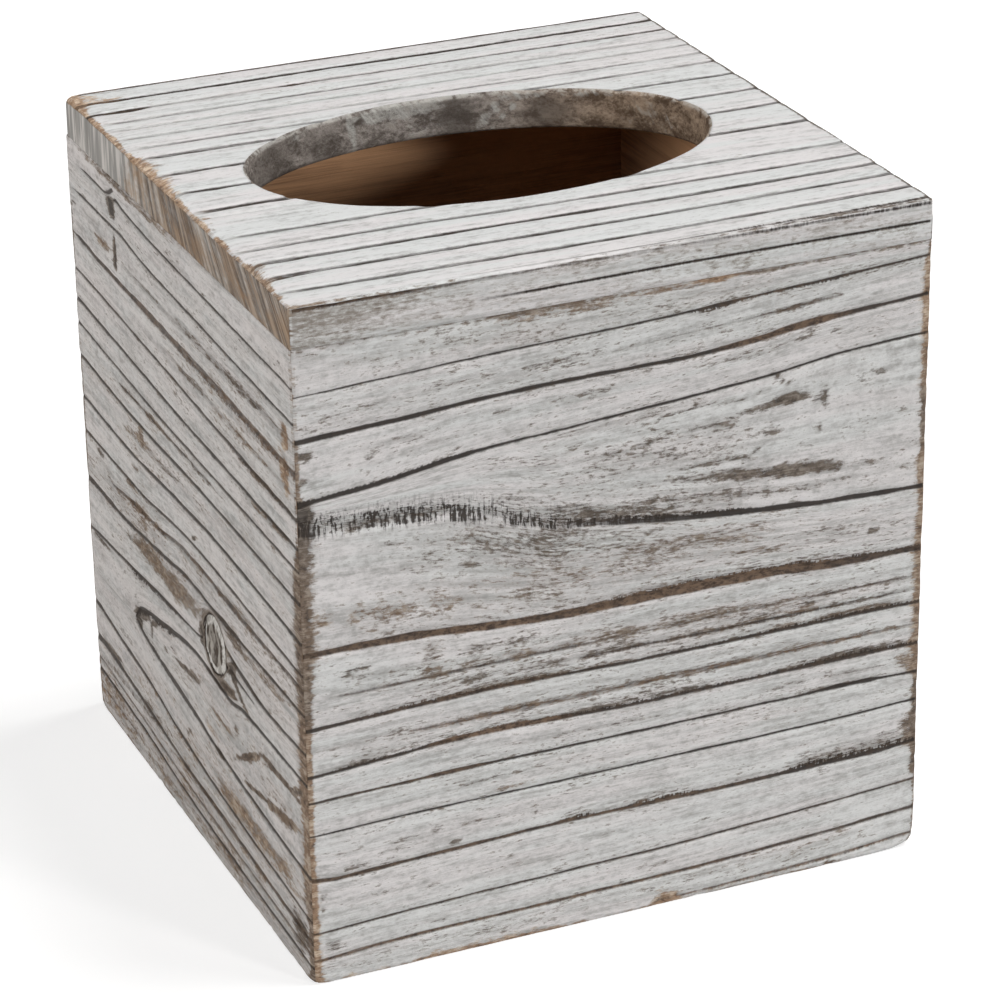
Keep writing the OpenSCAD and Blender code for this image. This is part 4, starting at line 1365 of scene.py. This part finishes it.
# Colours of the wood and the wash, in linear light
WHITE_WASH = (0.82, 0.80, 0.805)
COOL_WASH = (0.785, 0.80, 0.80)
GREY_WASH = (0.40, 0.395, 0.385)
STAINED_WHITE = (0.76, 0.72, 0.70)
STAINED_GREY = (0.34, 0.30, 0.275)
THIN_WASH = (0.23, 0.195, 0.16)
SCORCH = (0.044, 0.038, 0.035)
BROWN_GROOVE = (0.055, 0.036, 0.026)
BROWN_RIDGE = (0.24, 0.16, 0.108)
DUSTY_GROOVE = (0.15, 0.115, 0.09)
DARK_WOOD = (0.11, 0.088, 0.07)
DARK_WOOD_PALE = (0.25, 0.215, 0.185)
DARK_WOOD_SHADE = (0.040, 0.032, 0.027)
TAN_WOOD = (0.40, 0.25, 0.15)
TAN_WOOD_PALE = (0.80, 0.65, 0.50)
TAN_WOOD_SHADE = (0.15, 0.09, 0.055)
# The knot, from its cracked heart out
HEART_CRACK = (0.07, 0.055, 0.044)
HEART_WOOD = (0.46, 0.43, 0.39)
KNOT_GREY = (0.38, 0.36, 0.33)
KNOT_PALE = (0.76, 0.74, 0.71)
KNOT_OUTLINE = (0.045, 0.034, 0.028)
KNOT_HALO = (0.26, 0.22, 0.185)
# The end grain of the top board
END_DARK = (0.135, 0.105, 0.085)
END_PALE = (0.43, 0.355, 0.29)
END_TAN = (0.50, 0.33, 0.20)
END_GREY_WASH = (0.35, 0.34, 0.325)
END_WHITE_WASH = (0.70, 0.67, 0.64)
END_SCORCH = (0.05, 0.037, 0.028)
END_BROWN = (0.13, 0.08, 0.05)
# The oval's wall, cool on one side of the opening and warm on the other
CUT_COOL_DARK = (0.125, 0.105, 0.092)
CUT_COOL_PALE = (0.45, 0.405, 0.37)
CUT_WARM_DARK = (0.13, 0.088, 0.06)
CUT_WARM_PALE = (0.50, 0.38, 0.28)
CUT_BLOTCH = (0.075, 0.062, 0.052)
CUT_WASH = (0.56, 0.55, 0.52)
# The bare wood of the joints and of the inside; the inside's dark colour doubles as painted shade low on its
# walls
JOINT_PALE = (0.36, 0.23, 0.13)
JOINT_DARK = (0.17, 0.10, 0.058)
INNER_PALE = (0.70, 0.40, 0.22)
# Dark grain of the inside, and painted shade toward the foot of its walls
INNER_DARK_AND_SHADE = (0.085, 0.042, 0.022)
# The plywood's face, and its plies
PLY_DARK = (0.24, 0.14, 0.075)
PLY_PALE = (0.42, 0.29, 0.17)
PLY_PORE = (0.25, 0.15, 0.08)
PLY_LONG = (0.50, 0.34, 0.19)
PLY_END_DARK = (0.19, 0.11, 0.06)
PLY_END_PALE = (0.30, 0.19, 0.11)
STEEL_DARK = (0.50, 0.51, 0.53)
STEEL_PALE = (0.68, 0.69, 0.71)

# Length of the noises' features from one layer of grain to the next, far less than between two boards
GRAIN_DEPTH = 9
# Half the height over which one ply of the plywood turns into the next, in plies
PLY_JOINT = 0.05


class WoodFinish(Finish):
    """A finish that follows the grain of a board."""

    def __init__(self, name):
        super().__init__(name)
        self.grain = self.attribute("grain")

    def figure(self, along, across, detail, rough, shift, swirl=0.0):
        """Noise with features of these lengths along and across the grain."""
        return self.noise(self.grain, (along, across, GRAIN_DEPTH), detail, rough, shift, swirl)


class Whitewash(WoodFinish):
    """The noises of the whitewashed faces, and what their vertices tell."""

    def __init__(self):
        super().__init__("whitewash")
        self.gap, self.rag, self.ink = self.told("line")
        self.brown, self.bare, self.tan = self.told("tint")
        self.thin, self.knot, self.comb = self.told("thin")
        self.stain = self.attribute("stain", "Fac")
        # Wash that is cleaner than on the front has a negative stain
        self.clean = self.larger(-1.0 * self.stain, 0.0)
        self.fibre = self.figure(6.0, 0.3, 4, 0.7, 1.3, 0.2)
        self.streak = self.figure(20, 1.3, 4, 0.6, 5.1)
        self.band = self.figure(55, 5.0, 3, 0.5, 8.7)
        self.tick = self.figure(0.6, 5, 3, 0.62, 2.9)
        self.group = self.figure(4.5, 30, 2, 0.5, 3.9)
        self.speck = self.figure(1.3, 0.6, 5, 0.72, 7.7)
        self.dash = self.figure(3.0, 0.4, 4, 0.66, 4.4)
        self.cloud = self.figure(12, 4.5, 4, 0.6, 6.2)
        self.mottle = self.figure(2.6, 1.5, 4, 0.65, 9.9)


def wash_lines(f):
    """The dark of the grain lines."""
    # It spills over a line's edges as ticks across the grain and flecks along it
    spill = f.rag * f.step(0.38 * f.tick + 0.32 * f.speck + 0.3 * f.dash, 0.32, 0.68)
    edge = f.gap - spill + sway(f.speck, 0.22) + sway(f.dash, 0.16)
    soft = 0.3 * (1 - f.ink)
    line = 1 - f.step(edge, -0.18 - soft, 0.22 + soft)
    broken = f.step(0.66 * f.tick + 0.34 * f.group + sway(f.speck, 0.3), 0.38, 0.60)
    whole = 1 + f.comb * (broken - 1)
    strength = f.step(f.ink + sway(f.streak, 0.4) + sway(f.dash, 0.4), 0.0, 0.85)
    dark = line * strength * whole * (1 - 0.16 * f.stain)
    # Ticks across the grain thin out over the edge of a combed line
    fading = 1 - f.step(f.gap, 0.0, 0.3 + 4.2 * f.rag)
    ticks = 0.8 * f.comb * fading * f.step(0.5 * f.tick + 0.5 * f.speck, 0.48, 0.68)
    return f.larger(dark, ticks)


def wash_flecks(f):
    """Small swings in how well the wash holds."""
    return sway(f.speck, 0.6) + sway(f.dash, 0.6) + sway(f.cloud, 0.35) + sway(f.mottle, 0.3)


def wash_worn(f, flecks):
    """Where the wash has let go: over the worn patches, and in a halo beside the lines."""
    halo = f.ink * (1 - f.step(f.gap, 0.0, 1 + 2.6 * f.rag)) * (0.4 + f.rag)
    return f.step(f.bare + 0.22 * halo * (1 - 0.8 * f.comb) + flecks - 0.5 * f.clean, 0.16, 0.66)


def wash_film(f, flecks):
    """The wash itself, greyer on the stained walls and brown where it is thin."""
    tone = 0.16 * f.speck + 0.12 * f.fibre + 0.12 * f.dash + 0.25 * f.streak + 0.15 * f.cloud
    tone = tone + 0.2 * f.mottle + 0.2 * f.clean
    stain = f.stain * f.step(f.cloud + sway(f.streak, 0.8), -0.3, 0.9)
    white = f.mix(f.step(f.band, 0.3, 0.7), WHITE_WASH, COOL_WASH)
    wash = f.mix(f.step(tone, 0.26, 0.62), f.mix(stain, GREY_WASH, STAINED_GREY),
                 f.mix(stain, white, STAINED_WHITE))
    return f.mix(0.85 * f.step(f.thin + 1.3 * flecks, 0.22, 1.1), wash, THIN_WASH)


def wash_wood(f):
    """The wood where the wash has gone, from scorched to fresh."""
    wood = f.mix(f.tan, DARK_WOOD, TAN_WOOD)
    pale = f.mix(f.tan, DARK_WOOD_PALE, TAN_WOOD_PALE)
    shade = f.mix(f.tan, DARK_WOOD_SHADE, TAN_WOOD_SHADE)
    wood = f.mix(f.step(0.6 * f.mottle + 0.4 * f.fibre, 0.42, 0.75), wood, pale)
    wood = f.mix(1 - f.step(0.5 * f.mottle + 0.5 * f.speck, 0.22, 0.5), wood, shade)
    return f.mix(0.85 * f.step(f.bare, 0.97, 1.2), wood, shade)


def wash_groove(f):
    """The floor of the grooves."""
    ridge = f.mix(f.step(0.5 * f.speck + 0.5 * f.mottle, 0.3, 0.7), BROWN_GROOVE, BROWN_RIDGE)
    groove = f.mix(f.brown, SCORCH, ridge)
    return f.mix(0.25 * f.step(0.5 * f.speck + 0.5 * f.dash, 0.5, 0.85), groove, DUSTY_GROOVE)


def wash_knot(f, colour):
    """A knot has a dark outline, a pale ring inside it and a cracked dark heart."""
    ring = f.knot + sway(f.mottle, 0.16) + sway(f.speck, 0.12)
    heart = f.mix(f.step(0.6 * f.mottle + 0.4 * f.speck, 0.4, 0.7), HEART_CRACK, HEART_WOOD)
    disc = f.mix(f.step(ring, 0.74, 0.84), heart, f.mix(f.step(f.speck, 0.3, 0.6), KNOT_GREY, KNOT_PALE))
    disc = f.mix(f.step(ring, 1.02, 1.07), disc, KNOT_OUTLINE)
    disc = f.mix(f.step(ring, 1.12, 1.18), disc, KNOT_HALO)
    return f.mix(1 - f.step(ring, 1.16, 1.35), colour, disc)


def whitewash():
    """Thin white wash, brushed along the grain, worn off the scorched wood at every line and edge."""
    f = Whitewash()
    dark, flecks = wash_lines(f), wash_flecks(f)
    worn = wash_worn(f, flecks)
    colour = f.mix(0.95 * worn, wash_film(f, flecks), wash_wood(f))
    colour = f.mix(0.985 * dark, colour, wash_groove(f))
    height = 0.4 * f.fibre + 0.2 * f.streak + 0.25 * f.speck - 0.55 * worn - 0.5 * dark
    return f.finish(wash_knot(f, colour), height, relief=0.12)


def bare_wood(name, pale, deep):
    """Unpainted old softwood, for the joints and the inside, with painted shade: darker toward the foot and
    paler toward the top.
    """
    f = WoodFinish(name)
    fibre = f.figure(14, 0.35, 4, 0.6, 3.3, 0.1)
    ring = f.figure(70, 2.6, 2, 0.5, 1.9, 0.4)
    cloud = f.figure(30, 16, 3, 0.6, 7.3)
    # Painted shade: the wood darkens toward the foot of the walls, standing in for the shadow low inside the
    # box
    rise = f.step(f.split(f.grain)[1], 80, 125)
    share = f.step(0.25 * fibre + 0.3 * ring + 0.25 * cloud + 0.5 * rise, 0.35, 1.05)
    return f.finish(f.mix(share, deep, pale), fibre + ring, relief=0.1, roughness=0.75, specular=0.2)


def end_grain():
    """The sawn end of the top board, its growth rings showing through a rubbed wash."""
    f = WoodFinish("end_grain")
    gap, _, ink = f.told("line")
    brown, bare, tan = f.told("tint")
    saw = f.figure(1.2, 1.6, 4, 0.65, 2.2)
    ring = f.figure(14, 0.55, 3, 0.6, 4.8, 0.1)
    cloud = f.figure(7, 9, 3, 0.6, 9.4)
    wide = f.figure(20, 2.0, 2, 0.5, 6.6)
    worn = f.step(bare + sway(ring, 0.5) + sway(cloud, 0.35) + sway(saw, 0.3), 0.3, 0.72)
    rings = 0.5 * wide + 0.5 * ring
    wood = f.mix(f.step(rings, 0.36, 0.64), END_DARK, END_PALE)
    wood = f.mix(tan * f.step(cloud, 0.3, 0.8), wood, END_TAN)
    wash = f.mix(f.step(rings, 0.38, 0.66), END_GREY_WASH, END_WHITE_WASH)
    colour = f.mix(worn, wash, wood)
    edge = gap - 0.3 * f.step(saw, 0.3, 0.8)
    dark = 0.85 * ink * (1 - f.step(edge, -0.05, 0.3))
    colour = f.mix(dark, colour, f.mix(brown, END_SCORCH, END_BROWN))
    return f.finish(colour, 0.3 * saw + ring, relief=0.16)


def cut_edge():
    """The oval's sawn wall: mottled brown grey, with pale drags of the wash brush across it."""
    f = WoodFinish("cut_edge")
    marked, _, deep = f.told("thin")
    along, down, _ = f.split(f.grain)
    slanted = f.value(f.node("ShaderNodeCombineXYZ", X=along + 0.6 * down, Y=down))
    drag = f.noise(slanted, (1.6, 9, 9), 4, 0.65, 3.7, 0.3)
    broad = f.noise(slanted, (9, 7, 9), 3, 0.6, 5.9, 0.5)
    blotch = f.figure(3.2, 2.4, 4, 0.65, 2.6, 0.4)
    grit = f.figure(0.8, 0.6, 4, 0.7, 8.8)
    warm = 1 - f.step(along, 25, 60)
    wood = f.mix(f.step(0.35 * broad + 0.35 * blotch + 0.3 * grit, 0.3, 0.7),
                 f.mix(warm, CUT_COOL_DARK, CUT_WARM_DARK), f.mix(warm, CUT_COOL_PALE, CUT_WARM_PALE))
    spots = blotch + 0.5 * grit
    wood = f.mix(0.8 * deep * f.step(spots, 0.2, 0.9), wood, CUT_BLOTCH)
    loose = f.step(0.6 * drag + 0.4 * grit, 0.2, 0.7)
    pale = f.step(marked + sway(blotch, 0.7) + sway(drag, 0.5), 0.3, 0.9) * (0.4 + 0.6 * loose)
    rim = 0.7 * (1 - f.step(down, 0.2, 1.3)) * f.step(spots, 0.5, 1.0)
    colour = f.mix(f.larger(pale, rim), wood, CUT_WASH)
    return f.finish(colour, 0.5 * drag + 0.5 * blotch + grit, relief=0.2)


def plywood():
    """Aged plywood: long grain on its faces, and three plies along its edges."""
    f = Finish("plywood")
    place = f.place()
    fibre = f.noise(place, (30, 0.5, 30), 4, 0.6, 2.3, 0.1)
    figure = f.noise(place, (90, 7, 60), 3, 0.6, 4.6, 0.8)
    pores = f.noise(place, (2.2, 0.28, 9), 2, 0.6, 7.1)
    long = f.mix(f.step(0.4 * fibre + 0.6 * figure, 0.2, 0.8), PLY_DARK, PLY_PALE)
    long = f.mix(0.35 * f.step(pores, 0.72, 0.95), long, PLY_PORE)
    height = f.split(place)[2]
    ply = (base_high.z - base_low.z) / 3

    def above(plies):
        """0 below a joint between plies and 1 above it."""
        return f.step(height, base_low.z + ply * (plies - PLY_JOINT), base_low.z + ply * (plies + PLY_JOINT))

    core = above(1) * (1 - above(2))
    ends = f.noise(place, (0.6, 0.6, 0.5), 3, 0.6, 3.9)
    edge = f.mix(core, PLY_LONG, f.mix(ends, PLY_END_DARK, PLY_END_PALE))
    normal = f.value(f.node("ShaderNodeNewGeometry"), "True Normal")
    facing = f.split(normal)[2]
    level = f.step(f.larger(facing, -1 * facing), 0.4, 0.6)
    colour = f.mix(level, edge, long)
    return f.finish(colour, fibre - 0.6 * pores, relief=0.05, roughness=0.62, specular=0.3)


def pin_steel():
    """Drawn steel wire with fine lines round it."""
    f = Finish("pin_steel")
    drawn = f.noise(f.place(), (0.12, 0.12, 3), 3, 0.6, 1.7)
    colour = f.mix(drawn, STEEL_DARK, STEEL_PALE)
    return f.finish(colour, drawn, relief=0.01, roughness=0.34, metallic=1.0, specular=0.5)


# The floor and the sky
FLOOR_TONE = (0.52, 0.52, 0.52)
FLOOR_GLOW = 0.72
FLOOR_SPAN = 80 * COVER_W * MM
SKY_LIGHT = 0.08
SKY_COLOUR = (0.985, 0.985, 1.0)
WHITE = (1.0, 1.0, 1.0)
# Each lamp: its strength, its azimuth and elevation from the object, its softness and its colour.
# Azimuth 0 is straight in front, and 90 is at the right.
LAMPS = {
    "key": (2.08, 80.0, 68.0, 24.0, (1.0, 0.99, 0.975)),
    "low": (1.36, 30.0, 15.5, 10.0, (1.0, 0.99, 0.975)),
    "fill": (1.36, -80.0, 16.0, 30.0, (1.0, 0.97, 0.94)),
}
# The photograph's camera
LENS = 142.57
SENSOR = 36.0
CAMERA = (-307.7, -728.9, 428.0)
CAMERA_AZIMUTH, CAMERA_DOWN, CAMERA_ROLL = 23.09, 24.50, -0.90
CLIP_START, CLIP_END = 0.05, 50


def paper_floor():
    """A pale floor that reads as the photograph's white ground and still takes the object's shadow."""
    f = Finish("paper_floor")
    soft = f.shader("ShaderNodeBsdfDiffuse", Color=FLOOR_TONE)
    glow = f.shader("ShaderNodeEmission", Color=WHITE, Strength=FLOOR_GLOW)
    both = f.node("ShaderNodeAddShader")
    f.feed(both.inputs[0], soft)
    f.feed(both.inputs[1], glow)
    f.choose(f.seen(), soft, f.value(both))
    return f.material


def lay_floor():
    half = FLOOR_SPAN / 2
    mesh = bpy.data.meshes.new("floor")
    corners = [(-half, -half, 0), (half, -half, 0), (half, half, 0), (-half, half, 0)]
    mesh.from_pydata(corners, [], [(0, 1, 2, 3)])
    mesh.materials.append(paper_floor())
    floor = bpy.data.objects.new("floor", mesh)
    bpy.context.scene.collection.objects.link(floor)


def lamp(name, strength, azimuth, elevation, softness, colour):
    light = bpy.data.lights.new(name, "SUN")
    light.energy = strength
    light.angle = math.radians(softness)
    light.color = colour
    a, e = math.radians(azimuth), math.radians(elevation)
    toward = Vector((math.sin(a) * math.cos(e), -math.cos(a) * math.cos(e), math.sin(e)))
    holder = bpy.data.objects.new(name, light)
    holder.rotation_mode = "QUATERNION"
    holder.rotation_quaternion = toward.to_track_quat("Z", "Y")
    bpy.context.scene.collection.objects.link(holder)


def sky():
    """A world that looks white but gives only a little light."""
    world = bpy.data.worlds.new("studio")
    bpy.context.scene.world = world
    tree = Tree(world, "ShaderNodeOutputWorld")
    dim = tree.shader("ShaderNodeBackground", Color=SKY_COLOUR, Strength=SKY_LIGHT)
    tree.choose(tree.seen(), dim, tree.shader("ShaderNodeBackground", Color=WHITE, Strength=1.0))


def studio():
    bpy.context.scene.view_settings.view_transform = "Standard"
    for name, settings in LAMPS.items():
        lamp(name, *settings)
    sky()
    lay_floor()


def camera():
    data = bpy.data.cameras.new("camera")
    data.sensor_width = SENSOR
    data.lens = LENS
    data.clip_start, data.clip_end = CLIP_START, CLIP_END
    holder = bpy.data.objects.new("camera", data)
    turn = Matrix.Rotation(math.radians(-CAMERA_AZIMUTH), 4, "Z")
    tilt = Matrix.Rotation(math.radians(90 - CAMERA_DOWN), 4, "X")
    roll = Matrix.Rotation(math.radians(CAMERA_ROLL), 4, "Z")
    holder.matrix_world = Matrix.Translation(Vector(CAMERA) * MM) @ turn @ tilt @ roll
    bpy.context.scene.collection.objects.link(holder)
    bpy.context.scene.camera = holder


def boards():
    finishes = [whitewash(), bare_wood("joint_wood", JOINT_PALE, JOINT_DARK),
                bare_wood("inner_wood", INNER_PALE, INNER_DARK_AND_SHADE), end_grain(), cut_edge()]
    front = Wall(0, 0.0, FRONT_LINES, FRONT_PATCHES, FRONT_BANDS)
    right = Wall(1, 0.0, *grown_grain((21, 22, 23), COVER_D, 0.0, bend=3.5))
    back = Wall(2, BACK_FOOT, *grown_grain((34, 32, 33), COVER_W, BACK_FOOT, bend=2.5))
    left = Wall(3, 0.0, LEFT_LINES, LEFT_PATCHES, LEFT_BANDS, LEFT_KNOTS, LEFT_FINE_STRETCHES,
                fill=LEFT_FILL_STEP, widen=1.2)
    front.build("front_wall", finishes)
    right.build("right_wall", finishes)
    back.build("back_wall", finishes)
    left.build("left_wall", finishes, stain=0.7)
    top_face = Face(COVER_W, lambda u: top_radius(u, 0), lambda u: COVER_D - top_radius(u, COVER_D),
                    TOP_LINES, TOP_PATCHES, TOP_BANDS, depth_share=0.3, widen=1.35)
    TopBoard(top_face, LONG_EDGE).build(finishes, stain=-0.3)


def dress_cad_nodes():
    dress = {"base_panel": plywood(), "top_pins": pin_steel(), "corner_pins": pin_steel()}
    for node, material in dress.items():
        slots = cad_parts[node].data.materials
        if not slots:
            slots.append(material)
        for i in range(len(slots)):
            slots[i] = material


camera()
studio()
boards()
dress_cad_nodes()

bpy.context.view_layer.update()
